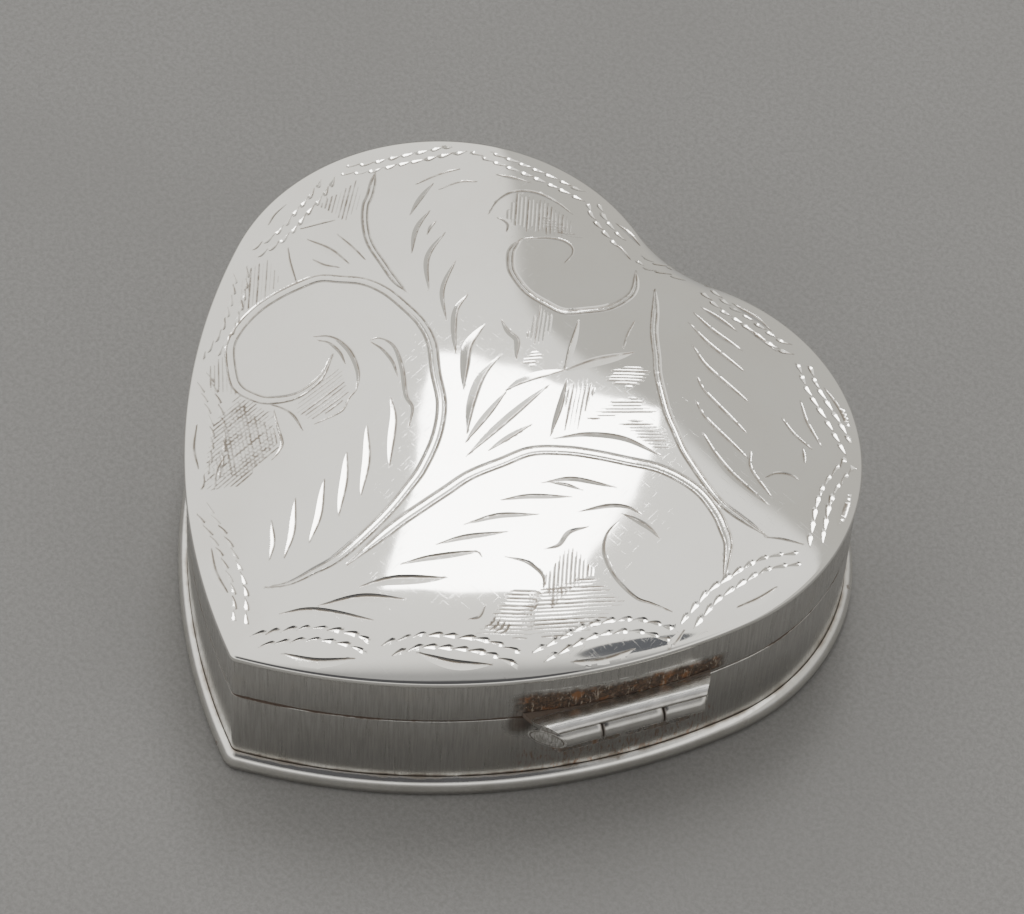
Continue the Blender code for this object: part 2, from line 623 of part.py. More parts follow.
def make_frame():
    """The upright plates that carry the cylinder and the governor."""
    foot = BED_Z1 + GAP
    left = [(BARREL_Y - 3, foot), (BARREL_Y + 3, foot), *arc(BARREL_Y, AXIS_Z, 1.9, 0, math.pi, 8)]
    bracket("cylinder_bracket", left, -4.9, -4.1, [(BARREL_Y, AXIS_Z, 0.7 + RUN)])
    right = [(BARREL_Y - 3, foot), (GOVERNOR_Y + 0.9, foot), (GOVERNOR_Y + 0.9, AXIS_Z + 3.8)]
    right += [(GOVERNOR_Y - 1.2, AXIS_Z + 3.8), (BARREL_Y + 1.5, AXIS_Z + 1.8), (BARREL_Y - 1.6, AXIS_Z + 1.5)]
    right += [(BARREL_Y - 2.2, AXIS_Z)]
    holes = [(BARREL_Y, AXIS_Z, 0.7 + RUN), (GOVERNOR_Y, AXIS_Z, 0.5 + RUN)]
    bracket("governor_frame", right, 17.0, 17.8, holes)
    outer = [(GOVERNOR_Y - 1.6, foot), (GOVERNOR_Y + 1.2, foot), *arc(GOVERNOR_Y, AXIS_Z, 1.2, 0, math.pi, 8)]
    bracket("governor_bracket", outer, 21.2, 21.9, [(GOVERNOR_Y, AXIS_Z, 0.5 + RUN)])
    # The arm that carries the worm's upper pivot reaches out from the governor frame's top.
    low = AXIS_Z + 3.9
    arm = [(17.0, GOVERNOR_Y - 1.2), (18.6, GOVERNOR_Y - 1.2)]
    arm += arc(WORM_X, WORM_Y, 1.0, math.radians(-35), math.radians(145), 8) + [(17.0, GOVERNOR_Y + 0.9)]
    made = solid("worm_cock", prism(arm, low, low + 0.5), BRASS)
    drill(made, WORM_X, WORM_Y, 0.35 + RUN, low - 1, low + 2)


def make_governor(wheel, fan):
    def along_x(bm):
        return onto_x_axis(bm, 0, GOVERNOR_Y, AXIS_Z)

    arbor = [(0, 15.0), (0.5, 15.0), (0.5, 21.8), (0, 21.8)]
    solid("governor_arbor", along_x(lathe(arbor, 12)), STEEL, wheel)
    rl = TRAIN_MODULE * LEAF_TEETH / 2
    # The train wheel has a tooth centred on the line to this arbor, so a gap faces it here.
    leaves = turned(gear(LEAF_TEETH, rl - 0.42, rl + 0.22, 15.3, 16.6, 0.52, 0.2), math.pi + math.pi / LEAF_TEETH)
    made = solid("governor_pinion", along_x(leaves), STEEL, wheel)
    drill_x(made, GOVERNOR_Y, AXIS_Z, 0.52, 15, 17)
    # A gap of the worm wheel faces the worm, where a thread stands.
    teeth = gear(WORM_TEETH, WORM_WHEEL_R - 0.4, WORM_WHEEL_R + 0.28, WORM_X - 0.4, WORM_X + 0.4, 0.54, 0.22)
    made = solid("worm_wheel", along_x(turned(teeth, math.pi / WORM_TEETH)), BRASS, wheel)
    drill_x(made, GOVERNOR_Y, AXIS_Z, 0.52, WORM_X - 1, WORM_X + 1)
    solid("worm", worm_thread(), STEEL, fan)
    # Two thin vanes on a hub.
    half = math.asin(0.12 / 0.8)
    vanes = [(2.1, -0.12), (2.1, 0.12), *arc(0, 0, 0.8, half, math.pi - half, 6)]
    vanes += [(-2.1, 0.12), (-2.1, -0.12), *arc(0, 0, 0.8, math.pi + half, 2 * math.pi - half, 6)]
    made = solid("governor_fan", prism([(WORM_X + x, WORM_Y + y) for x, y in vanes], 11.2, 12.3), BRASS, fan)
    drill(made, WORM_X, WORM_Y, 0.47, 11, 13, 14)


def worm_thread():
    """A right-handed single thread, as a turned rod whose radius rises and falls with angle and height."""
    around, rows_per_turn, turns = 16, 8, 3
    pitch = 2 * math.pi * WORM_WHEEL_R / WORM_TEETH
    start = AXIS_Z - pitch * turns / 2
    bm = bmesh.new()
    rows = []

    def radius_at(angle, z):
        # The thread's crest is where angle and height agree; at AXIS_Z a crest faces the wheel, towards -Y.
        phase = (angle + math.pi / 2) / (2 * math.pi) - (z - AXIS_Z) / pitch
        off = abs(phase - round(phase))
        edge = min(1.0, max(0.0, (0.27 - off) / 0.12))
        return WORM_R - 0.35 + 0.6 * edge

    for step in range(turns * rows_per_turn + 1):
        z = start + pitch * step / rows_per_turn
        row = []
        for i in range(around):
            angle = 2 * math.pi * i / around
            r = radius_at(angle, z)
            row.append(bm.verts.new((WORM_X + r * math.cos(angle), WORM_Y + r * math.sin(angle), z)))
        rows.append(row)
    for r, z in ((0.45, start - 0.2), (0.45, 4.2), (0.3, 4.2), (0.3, 3.3)):
        rows.insert(0, loop_of(bm, [(*p, z) for p in circle(r, around, WORM_X, WORM_Y)]))
    for r, z in ((0.45, start + pitch * turns + 0.2), (0.45, 12.35), (0.3, 12.35), (0.3, 13.0)):
        rows.append(loop_of(bm, [(*p, z) for p in circle(r, around, WORM_X, WORM_Y)]))
    for first, second in zip(rows, rows[1:]):
        bridge(bm, first, second)
    bm.faces.new(rows[0])
    bm.faces.new(rows[-1])
    return bm


def make_comb():
    """The steel comb on its brass heel. Its bass teeth, at the left, are the long ones."""
    low, high = AXIS_Z - 0.3, AXIS_Z + 0.3
    tip_y = BARREL_Y - CYLINDER_R - 0.55
    slit = 0.22
    back_y = -9.5
    outline = []
    for i in range(COMB_TEETH):
        middle = comb_x(i)
        root_y = -3.4 + 3.6 * i / (COMB_TEETH - 1)
        half = (COMB_PITCH - slit) / 2
        if i:
            outline.append((middle - half, root_y))
        outline += [(middle - half, tip_y - 0.5), (middle - 0.22, tip_y), (middle + 0.22, tip_y), (middle + half, tip_y - 0.5)]
        if i < COMB_TEETH - 1:
            outline.append((middle + half, root_y))
    outline += [(outline[-1][0] + 0.9, -0.4), (outline[-1][0] + 0.9, back_y), (outline[0][0] - 0.9, back_y)]
    outline += [(outline[0][0] - 0.9, -4.2), (outline[0][0], -4.2)]
    comb = solid("comb", prism(outline, low, high), STEEL)
    heel = solid("comb_heel", box((-3.4, back_y, BED_Z1 + GAP), (15.0, -4.4, low - GAP)), BRASS)
    for i, x in enumerate((0.4, 11.2), 1):
        drill(comb, x, -7.0, 0.75, low - 1, high + 1)
        drill(heel, x, -7.0, 0.75, 5.0, low + 1)
        screw(f"comb_screw_{i}", x, -7.0, high + GAP, high + 0.9, 1.4, 0.6, 5.4)


def make_stop(stop):
    """The rod that the closed lid holds down against its spring, with a finger beside the fan's sweep."""
    profile = [(0, 3.2), (STOP_R, 3.2), (STOP_R, STOP_TOP - 0.3), (STOP_R - 0.25, STOP_TOP), (0, STOP_TOP)]
    solid("stop_rod", lathe(profile, 12, STOP_X, STOP_Y), STEEL, stop)
    finger = [(WORM_X + 2.35, STOP_Y - 0.4), (STOP_X + 1.0, STOP_Y - 0.9), (STOP_X + 1.0, STOP_Y + 0.9), (WORM_X + 2.35, STOP_Y + 0.4)]
    arm = solid("stop_finger", prism(finger, 10.6, 11.2), BRASS, stop)
    drill(arm, STOP_X, STOP_Y, STOP_R + 0.04, 10, 12)
    solid("stop_spring", coil(STOP_X, STOP_Y, 1.0, 0.16, 3.95, 10.3, 5), BLUE_STEEL)


def coil(x, y, radius, wire, low, high, turns):
    """A compression spring: a round wire led along a helix by a loop."""
    bm = bmesh.new()
    steps, around = 12, 5
    loops = []
    for i in range(turns * steps + 1):
        angle = 2 * math.pi * i / steps
        z = low + wire + (high - low - 2 * wire) * i / (turns * steps)
        ring = []
        for px, pz in circle(wire, around):
            r = radius + px
            ring.append((x + r * math.cos(angle), y + r * math.sin(angle), z + pz))
        loops.append(loop_of(bm, ring))
    for first, second in zip(loops, loops[1:]):
        bridge(bm, first, second)
    bm.faces.new(loops[0])
    bm.faces.new(loops[-1])
    return bm


def build():
    clear_scene()
    hinge_point = hinge_matrix() @ Vector((0, PIN_O, PIN_Z))
    lid = pivot("lid_pivot", hinge_point)
    key = pivot("key_axis", (BARREL_X, BARREL_Y, 0))
    barrel = pivot("barrel_axis", (BARREL_X, BARREL_Y, 5))
    cylinder = pivot("cylinder_axis", (0, BARREL_Y, AXIS_Z))
    wheel = pivot("governor_axis", (WORM_X, GOVERNOR_Y, AXIS_Z))
    fan = pivot("fan_axis", (WORM_X, WORM_Y, AXIS_Z))
    stop = pivot("stop_axis", (STOP_X, STOP_Y, 0))
    click = pivot("click_axis", (CLICK_X, CLICK_Y, BRIDGE_Z1))
    make_case()
    make_lid(lid)
    make_hinge(lid)
    make_bedplate()
    make_winding(key)
    make_barrel(barrel)
    make_bridge()
    make_click(click)
    make_cylinder(cylinder)
    make_frame()
    make_governor(wheel, fan)
    make_comb()
    make_stop(stop)


build()
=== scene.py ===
"""The looks of a heart-shaped wind-up music box with an engraved lid, on a pale floor."""

import math

import bmesh
import bpy
import numpy as np
from mathutils import Matrix, Vector
from mathutils.geometry import delaunay_2d_cdt


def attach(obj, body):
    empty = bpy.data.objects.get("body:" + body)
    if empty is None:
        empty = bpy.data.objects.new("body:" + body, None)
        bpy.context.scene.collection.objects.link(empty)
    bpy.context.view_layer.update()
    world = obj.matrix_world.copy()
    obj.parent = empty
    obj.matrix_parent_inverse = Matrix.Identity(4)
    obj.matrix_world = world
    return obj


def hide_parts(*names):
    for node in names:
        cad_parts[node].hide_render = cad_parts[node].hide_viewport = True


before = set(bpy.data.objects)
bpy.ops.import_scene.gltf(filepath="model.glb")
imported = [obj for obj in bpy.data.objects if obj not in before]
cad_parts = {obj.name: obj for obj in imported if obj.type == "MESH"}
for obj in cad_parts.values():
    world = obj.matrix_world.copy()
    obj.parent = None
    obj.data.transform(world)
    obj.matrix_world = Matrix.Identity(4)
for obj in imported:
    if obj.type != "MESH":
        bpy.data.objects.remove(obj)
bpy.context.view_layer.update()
MM = 0.001

# The heart's outline, in mm: two lobes, two long sides, a cleft and a tip.
LOBE_X, LOBE_Y, LOBE_R = 12.6, 10.94, 22.4
SIDE_R, CLEFT_R, TIP_R = 65.6, 15.6, 0.9
SHARP_TIP_Y = -33.56

# Heights, in mm.
SEAM_Z = 12.2
SHOULDER_Z, DOME_H, LID_T = 19.0, 3.4, 0.8

# The hinge, in its own frame: s along the pin, o out from the wall.
HINGE_ANGLE = math.radians(-30.2)
HINGE_OUT = (math.cos(HINGE_ANGLE), math.sin(HINGE_ANGLE))
PIN_O, PIN_Z, PIN_R, KNUCKLE_R = 1.33, 10.9, 0.45, 1.2
HINGE_S0, HINGE_S1, BEVEL_0, BEVEL_1 = -11.2, 7.9, 1.35, 0.6
SPLIT_S0, SPLIT_S1 = -4.0, 2.3
GAP = 0.05


# ---------------------------------------------------------------- outlines


def side_centre():
    tip, lobe = Vector((0, SHARP_TIP_Y)), Vector((LOBE_X, LOBE_Y))
    apart = (lobe - tip).length
    along = (lobe - tip) / apart
    reach = (SIDE_R**2 - (SIDE_R - LOBE_R) ** 2 + apart**2) / (2 * apart)
    across = math.sqrt(SIDE_R**2 - reach**2)
    return tip + along * reach + Vector((-along.y, along.x)) * across


SIDE_C = side_centre()


def arc(cx, cy, radius, start, end, steps):
    turn = np.linspace(start, end, steps + 1)
    return np.stack([cx + radius * np.cos(turn), cy + radius * np.sin(turn)], 1)


def heart(offset=0.0, fine=1):
    """The outline, moved out by offset, with the same number of points at every offset."""
    cleft_y = LOBE_Y + math.sqrt((LOBE_R + CLEFT_R) ** 2 - LOBE_X**2)
    lobe_start = math.atan2(cleft_y - LOBE_Y, -LOBE_X)
    lobe_end = math.atan2(LOBE_Y - SIDE_C.y, LOBE_X - SIDE_C.x)
    tip_r = max(TIP_R + offset, 0.05)
    tip_y = SIDE_C.y - math.sqrt((SIDE_R + offset - tip_r) ** 2 - SIDE_C.x**2)
    tip_start = math.atan2(tip_y - SIDE_C.y, -SIDE_C.x)
    down = -math.pi / 2
    right = np.concatenate(
        [
            arc(0, cleft_y, CLEFT_R - offset, down, lobe_start - math.pi, 12 * fine),
            arc(LOBE_X, LOBE_Y, LOBE_R + offset, lobe_start, lobe_end, 96 * fine)[1:],
            arc(*SIDE_C, SIDE_R + offset, lobe_end, tip_start, 84 * fine)[1:],
            arc(0, tip_y, tip_r, tip_start, down, 9)[1:],
        ]
    )
    left = right[1:-1][::-1] * [-1, 1]
    return np.concatenate([right, left])


# ---------------------------------------------------------------- meshes


def to_object(name, points, faces, body, surface, node, smooth=35):
    """A piece from points in mm, riding on a body, and standing for a CAD node."""
    mesh = bpy.data.meshes.new(name)
    mesh.from_pydata([tuple(p) for p in np.asarray(points, float) * MM], [], faces)
    bm = bmesh.new()
    bm.from_mesh(mesh)
    bmesh.ops.recalc_face_normals(bm, faces=bm.faces)
    bm.to_mesh(mesh)
    bm.free()
    mesh.polygons.foreach_set("use_smooth", [True] * len(mesh.polygons))
    if smooth:
        mesh.set_sharp_from_angle(angle=math.radians(smooth))
    mesh.materials.append(surface)
    obj = bpy.data.objects.new(name, mesh)
    bpy.context.collection.objects.link(obj)
    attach(obj, body)
    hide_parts(node)
    return obj


def band_faces(first, second):
    """Quads between two closed loops of point numbers."""
    count = len(first)
    turns = ((i, (i + 1) % count) for i in range(count))
    return [(first[i], first[j], second[j], second[i]) for i, j in turns]


def ring_faces(rings, count, closed):
    """Quads between successive rings of count points each."""
    loops = [range(k * count, (k + 1) * count) for k in range(rings)]
    ends = range(1, rings + closed)
    return [f for k in ends for f in band_faces(loops[k - 1], loops[k % rings])]


def rounded(section, radius, steps=4):
    """The section with each corner rounded over, as far as its sides allow."""
    out = []
    count = len(section)
    for i, corner in enumerate(section):
        corner = Vector(corner)
        before, after = Vector(section[i - 1]) - corner, Vector(section[(i + 1) % count]) - corner
        reach = min(radius, before.length * 0.45, after.length * 0.45)
        start, end = corner + before.normalized() * reach, corner + after.normalized() * reach
        for t in (k / steps for k in range(steps + 1)):
            out.append(start * (1 - t) ** 2 + corner * (2 * t * (1 - t)) + end * t * t)
    return [tuple(p) for p in out]


def heart_ring(name, section, body, surface, node, smooth=40):
    """A ring all round the heart with this (offset, z) section."""
    rings = [np.column_stack([heart(o), np.full(len(heart(o)), z)]) for o, z in section]
    faces = ring_faces(len(rings), len(rings[0]), True)
    to_object(name, np.concatenate(rings), faces, body, surface, node, smooth)


# ---------------------------------------------------------------- materials


class Nodes:
    """A node tree, built with short calls."""

    def __init__(self, tree):
        self.tree = tree

    def node(self, kind, **settings):
        node = self.tree.nodes.new(kind)
        for name, value in settings.items():
            setattr(node, name, value)
        return node

    def feed(self, sockets, values):
        for socket, value in zip(sockets, values):
            if isinstance(value, bpy.types.NodeSocket):
                self.tree.links.new(value, socket)
            elif isinstance(value, tuple) and socket.type == "RGBA":
                socket.default_value = (*value, 1.0)
            else:
                socket.default_value = value

    def vector(self, operation, *values):
        node = self.node("ShaderNodeVectorMath", operation=operation)
        self.feed(node.inputs, values)
        return node.outputs["Value" if operation in ("LENGTH", "DOT_PRODUCT") else "Vector"]

    def math(self, operation, a, b=0.0, clamp=False):
        node = self.node("ShaderNodeMath", operation=operation, use_clamp=clamp)
        self.feed(node.inputs, (a, b))
        return node.outputs[0]

    def times(self, *values):
        total = values[0]
        for value in values[1:]:
            total = self.math("MULTIPLY", total, value)
        return total

    def plus(self, *values, clamp=False):
        total = values[0]
        for left, value in zip(range(len(values) - 2, -1, -1), values[1:]):
            total = self.math("ADD", total, value, clamp=clamp and not left)
        return total

    def minus(self, a, b):
        return self.math("SUBTRACT", a, b)

    def apart(self, a, b):
        return self.math("ABSOLUTE", self.minus(a, b))

    def remap(self, value, low, high, to_low=0.0, to_high=1.0):
        """A smooth step from low to high, which may run downwards."""
        node = self.node("ShaderNodeMapRange", interpolation_type="SMOOTHSTEP")
        self.feed(node.inputs, (value, low, high, to_low, to_high))
        return node.outputs[0]

    def mix(self, share, a, b):
        node = self.node("ShaderNodeMix", data_type="RGBA")
        self.feed([node.inputs[k] for k in (0, 6, 7)], (share, a, b))
        return node.outputs[2]

    def layer(self, color, tint, *shares):
        """The colour, with this tint over it where all the shares are high."""
        return self.mix(self.times(*shares), color, tint)


class Surface(Nodes):
    """A material. Coordinates are the object's own, in mm."""

    def __init__(self, name):
        self.material = bpy.data.materials.new(name)
        self.material.use_nodes = True
        super().__init__(self.material.node_tree)
        self.shader = self.tree.nodes["Principled BSDF"]
        scale = self.node("ShaderNodeVectorMath", operation="SCALE")
        place = self.node("ShaderNodeTexCoord").outputs["Object"]
        self.feed((scale.inputs[0], scale.inputs["Scale"]), (place, 1000.0))
        self.place = scale.outputs["Vector"]

    def finish(self, **values):
        for name, value in values.items():
            self.feed([self.shader.inputs[name.replace("_", " ")]], [value])
        return self.material

    def split(self):
        return tuple(self.fed("ShaderNodeSeparateXYZ", self.place).outputs)

    def join(self, x, y, z):
        return self.fed("ShaderNodeCombineXYZ", x, y, z).outputs[0]

    def fed(self, kind, *values):
        node = self.node(kind)
        self.feed(node.inputs, values)
        return node

    def noise(self, scale, detail, rough, stretch=None, where=None, bend=0.0):
        """Noise with features about 1/scale mm across, squeezed by stretch along each axis."""
        node = self.node("ShaderNodeTexNoise")
        vector = where or self.place
        if stretch:
            vector = self.vector("MULTIPLY", vector, stretch)
        names = ("Vector", "Scale", "Detail", "Roughness", "Distortion")
        self.feed([node.inputs[n] for n in names], (vector, scale, detail, rough, bend))
        return node.outputs["Fac"]

    def cells(self, scale):
        node = self.node("ShaderNodeTexVoronoi")
        self.feed((node.inputs["Vector"], node.inputs["Scale"]), (self.place, scale))
        return node.outputs["Distance"]

    def attribute(self, name):
        return self.node("ShaderNodeAttribute", attribute_name=name).outputs["Fac"]

    def bump(self, height, strength, distance, normal=None):
        """distance is in mm."""
        node = self.node("ShaderNodeBump")
        sockets = [node.inputs[n] for n in ("Height", "Strength", "Distance")]
        self.feed(sockets, (height, strength, distance * MM))
        if normal:
            self.feed([node.inputs["Normal"]], [normal])
        return node.outputs["Normal"]

    def hinge_place(self):
        """How far along the hinge a point is, how far out from the wall there, and its height."""
        x, y, z = self.split()
        ox, oy = HINGE_OUT
        dx, dy = self.minus(x, SIDE_C.x + ox * SIDE_R), self.minus(y, SIDE_C.y + oy * SIDE_R)
        along = self.plus(self.times(dx, -oy), self.times(dy, ox))
        outward = self.plus(self.times(dx, ox), self.times(dy, oy))
        return along, outward, z


BRIGHT = (0.930, 0.921, 0.880)
TARNISH_AND_SHADE = (0.13, 0.10, 0.075)
RUST = (0.36, 0.15, 0.05)
UMBER = (0.055, 0.035, 0.022)


def polished_silver(name="polished_silver", engraved=False):
    s = Surface(name)
    haze = s.remap(s.noise(0.11, 3, 0.55), 0.35, 0.7)
    fine = s.noise(1.3, 4, 0.65)
    wipes = s.noise(1.0, 2, 0.5, (9.0, 0.5, 0.5))
    wipes_across = s.noise(1.0, 2, 0.5, (0.45, 7.0, 0.5))
    scratch = s.plus(s.remap(wipes, 0.66, 0.72), s.remap(wipes_across, 0.67, 0.73), clamp=True)
    color = s.mix(haze, BRIGHT, (0.90, 0.885, 0.838))
    color = s.layer(color, (0.74, 0.72, 0.68), s.remap(fine, 0.56, 0.78), 0.16)
    rough = s.plus(0.036, s.times(haze, 0.022), s.times(scratch, 0.04))
    if engraved:
        patchy = s.noise(0.9, 3, 0.6)
        # The cuts are darkened: tarnish in them, and painted shade on their steep flanks.
        cut = s.remap(s.attribute("cut"), 0.3, 0.8)
        dirt = s.times(cut, s.remap(patchy, 0.25, 0.6, 0.45, 1.0))
        color = s.layer(color, TARNISH_AND_SHADE, dirt, 0.9)
        halo = s.times(s.attribute("worn"), s.remap(patchy, 0.3, 0.7, 0.2, 0.9))
        color = s.layer(color, (0.55, 0.50, 0.42), halo, 0.2)
        rough = s.plus(rough, s.times(dirt, 0.42))
    normal = s.bump(s.noise(0.16, 1, 0.4), 0.35, 0.05)
    normal = s.bump(scratch, 0.05, 0.01, normal)
    return s.finish(Base_Color=color, Roughness=rough, Metallic=1.0, Normal=normal)


def brushed_silver():
    """The side walls: satin silver drawn with fine upright lines, brown where nobody cleans."""
    s = Surface("satin_band_silver")
    lines = s.noise(1.0, 3, 0.6, (6.0, 6.0, 0.22))
    finer = s.noise(1.0, 2, 0.6, (16.0, 16.0, 0.5))
    cloud = s.noise(0.22, 3, 0.55)
    color = s.mix(s.remap(lines, 0.3, 0.75), (0.60, 0.592, 0.57), (0.44, 0.432, 0.41))
    color = s.layer(color, (0.58, 0.55, 0.50), s.remap(cloud, 0.5, 0.75), 0.35)

    # Round the hinge: a crust above it, a dark stain at its left end and a bloom of rust below.
    along, outward, z = s.hinge_place()
    ragged = s.noise(0.75, 4, 0.65)
    jut = s.times(ragged, 2.2)
    span = s.times(
        s.remap(s.plus(along, jut), -11.4, -9.6), s.remap(s.minus(along, jut), 9.0, 7.2)
    )
    near = s.remap(outward, -3.0, -2.2)
    slope = s.plus(z, s.times(along, 0.06))
    above = s.remap(s.plus(slope, s.times(ragged, 2.0)), 17.0, 15.9)
    crust = s.times(span, near, above, s.remap(z, 12.4, 12.9))
    stain_x = s.math("DIVIDE", s.minus(along, -11.3), 1.5)
    stain_z = s.math("DIVIDE", s.minus(z, 11.2), 2.0)
    away = s.plus(s.times(stain_x, stain_x), s.times(stain_z, stain_z), s.times(ragged, 0.8))
    stain = s.times(s.remap(away, 2.0, 0.3), near)
    low = s.times(s.remap(s.plus(z, ragged), 7.4, 6.4), span, near)

    wander = s.times(s.remap(s.noise(0.3, 3, 0.6), 0.35, 0.7), 0.16)
    seam = s.times(s.remap(s.minus(s.apart(z, SEAM_Z + 0.1), wander), 0.16, 0.06), 0.92)
    color = s.layer(color, (0.10, 0.062, 0.04), seam)
    uneven = s.times(s.noise(0.35, 3, 0.6), 0.8)
    foot = s.times(s.remap(s.minus(z, uneven), 2.25, 1.9), 0.75)
    color = s.layer(color, (0.16, 0.12, 0.09), foot)
    grain = s.noise(2.6, 4, 0.7)
    drips = s.noise(1.0, 3, 0.65, (3.4, 3.4, 0.8))
    patches = s.noise(0.5, 3, 0.6)
    scale = s.mix(s.remap(grain, 0.42, 0.66), (0.045, 0.028, 0.018), (0.16, 0.095, 0.055))
    scale = s.layer(scale, (0.30, 0.125, 0.04), s.remap(patches, 0.52, 0.64), 0.7)
    scale = s.layer(scale, (0.42, 0.36, 0.29), s.remap(drips, 0.57, 0.68), 0.8)
    scale = s.layer(scale, (0.62, 0.56, 0.47), s.remap(s.cells(1.9), 0.13, 0.07), 0.7)
    # A painted highlight runs as a bright line along the crust's upper edge.
    painted_highlight_line = s.times(
        s.remap(s.apart(slope, 16.05), 0.16, 0.05),
        s.remap(along, -11.0, -9.5),
        s.remap(along, 7.5, 5.5),
        s.remap(patches, 0.4, 0.55),
    )
    color = s.layer(color, (0.93, 0.925, 0.9), painted_highlight_line)
    color = s.layer(color, scale, crust, 0.96)
    color = s.layer(color, UMBER, stain, 0.9)
    color = s.layer(color, RUST, low, s.remap(drips, 0.5, 0.66), 0.5)

    dirt = s.plus(crust, stain, seam, s.times(foot, 0.6), clamp=True)
    rough = s.plus(0.19, s.times(s.remap(lines, 0.3, 0.8), 0.1))
    rough = s.plus(rough, s.times(dirt, 0.45), clamp=True)
    normal = s.bump(lines, 0.5, 0.012)
    normal = s.bump(finer, 0.5, 0.006, normal)
    normal = s.bump(s.times(s.remap(crust, 0.5, 1.0), grain), 0.8, 0.2, normal)
    metallic = s.minus(1.0, s.times(s.remap(dirt, 0.72, 1.0), 0.85))
    return s.finish(Base_Color=color, Roughness=rough, Metallic=metallic, Normal=normal)


def bead_silver():
    """The foot bead: bright where cloths rub it, pitted and brown where it meets the wall, with
    painted shade on its lower half.
    """
    s = Surface("rubbed_bead_silver")
    z = s.split()[2]
    cloud = s.noise(0.35, 4, 0.6)
    pits = s.times(s.remap(s.cells(0.42), 0.17, 0.10), s.remap(s.noise(0.2, 2, 0.5), 0.46, 0.6))
    color = s.mix(s.remap(cloud, 0.35, 0.7), (0.95, 0.94, 0.905), (0.84, 0.825, 0.78))
    top = s.remap(s.plus(z, s.times(cloud, 0.35)), 2.34, 2.5)
    color = s.layer(color, (0.20, 0.145, 0.10), top, 0.7)
    # The lower half of the bead is painted darker, as painted shade.
    painted_shade_below = s.remap(s.plus(z, s.times(cloud, 0.3)), 1.35, 0.75)
    color = s.layer(color, (0.24, 0.232, 0.215), painted_shade_below, 0.62)
    color = s.layer(color, (0.12, 0.09, 0.07), pits, 0.85)
    rough = s.plus(0.13, s.times(s.plus(top, pits), 0.3), clamp=True)
    normal = s.bump(s.noise(1.0, 3, 0.55, (2.2, 2.2, 9.0)), 0.3, 0.01)
    normal = s.bump(pits, -0.7, 0.05, normal)
    metallic = s.minus(1.0, s.times(pits, 0.7))
    return s.finish(Base_Color=color, Roughness=rough, Metallic=metallic, Normal=normal)


def hinge_silver():
    """The hinge: filed and handled silver with dirt in its joints and a rust bloom underneath,
    painted shade on its tubes and beneath its plate's lip, and a painted highlight on its front
    edge.
    """
    s = Surface("filed_hinge_silver")
    along, outward, z = s.hinge_place()
    drawn = s.join(s.times(along, 0.8), s.times(outward, 9.0), s.times(z, 9.0))
    file = s.noise(1.0, 3, 0.6, where=drawn)
    cloud = s.noise(0.7, 4, 0.6)
    # Below the plate the tubes are painted darker: painted shade, for the floor they reflect.
    lit_plate_shaded_tubes = s.mix(s.remap(z, 12.36, 12.26), (0.66, 0.65, 0.63), (0.56, 0.55, 0.53))
    color = s.mix(s.remap(cloud, 0.35, 0.7), lit_plate_shaded_tubes, (0.50, 0.49, 0.465))
    color = s.layer(color, (0.36, 0.35, 0.325), s.remap(file, 0.45, 0.75), 0.35)

    # The top's front edge is rubbed smooth and carries a painted highlight.
    rubbed_edge_highlight = s.times(s.remap(outward, 0.95, 1.2), s.remap(z, 12.7, 12.86))
    color = s.layer(color, (0.97, 0.965, 0.945), rubbed_edge_highlight)
    # The left end is filed flat and shows the tube's ring.
    filed = s.remap(s.minus(along, s.plus(HINGE_S0, s.times(outward, BEVEL_0))), 0.06, 0.02)
    cross = s.noise(1.0, 2, 0.6, where=s.join(s.times(outward, 7.0), s.times(z, 0.9), 0.0))
    end = s.mix(s.remap(cross, 0.42, 0.6), (0.78, 0.77, 0.75), (0.50, 0.49, 0.46))
    color = s.layer(color, end, filed)
    from_pin = s.vector("LENGTH", s.join(s.minus(outward, PIN_O), s.minus(z, PIN_Z), 0.0))
    ring = s.times(s.remap(s.apart(from_pin, 1.02), 0.06, 0.02), filed)
    color = s.layer(color, (0.16, 0.13, 0.11), ring, s.remap(cloud, 0.35, 0.5, 0.3, 0.9))

    # Dirt lies between the tubes and against the wall; the dark line beneath the plate's lip is
    # painted shade.
    splits = [s.remap(s.apart(along, at), 0.32, 0.06) for at in (SPLIT_S0, SPLIT_S1)]
    on_tubes = s.remap(z, 12.35, 12.0)
    joints_and_lip_shade = s.plus(*(s.times(split, on_tubes) for split in splits), clamp=True)
    lip = s.times(s.remap(s.apart(z, 12.22), 0.2, 0.08), s.remap(outward, 0.9, 1.2))
    joints_and_lip_shade = s.math("MAXIMUM", joints_and_lip_shade, s.times(lip, s.remap(cloud, 0.3, 0.55, 0.55, 1.0)))
    color = s.layer(color, (0.09, 0.065, 0.05), joints_and_lip_shade, 0.82)
    inner = s.times(s.remap(s.minus(outward, s.times(cloud, 0.4)), 0.0, -0.35), 0.8)
    color = s.layer(color, (0.14, 0.09, 0.06), inner)
    below = s.remap(s.minus(z, s.times(cloud, 1.6)), 8.2, 6.8)
    below = s.times(below, s.remap(s.noise(0.9, 3, 0.6), 0.42, 0.6))
    color = s.layer(color, (0.25, 0.13, 0.06), below, 0.55)

    dirt = s.plus(joints_and_lip_shade, inner, s.times(below, 0.6), clamp=True)
    rough = s.plus(0.2, s.times(dirt, 0.4), s.times(rubbed_edge_highlight, -0.08), clamp=True)
    rough = s.plus(rough, s.times(filed, 0.2), clamp=True)
    normal = s.bump(file, 0.6, 0.014)
    normal = s.bump(s.times(cross, filed), 0.6, 0.02, normal)
    metallic = s.minus(1.0, s.times(s.remap(dirt, 0.5, 1.0), 0.6))
    return s.finish(Base_Color=color, Roughness=rough, Metallic=metallic, Normal=normal)


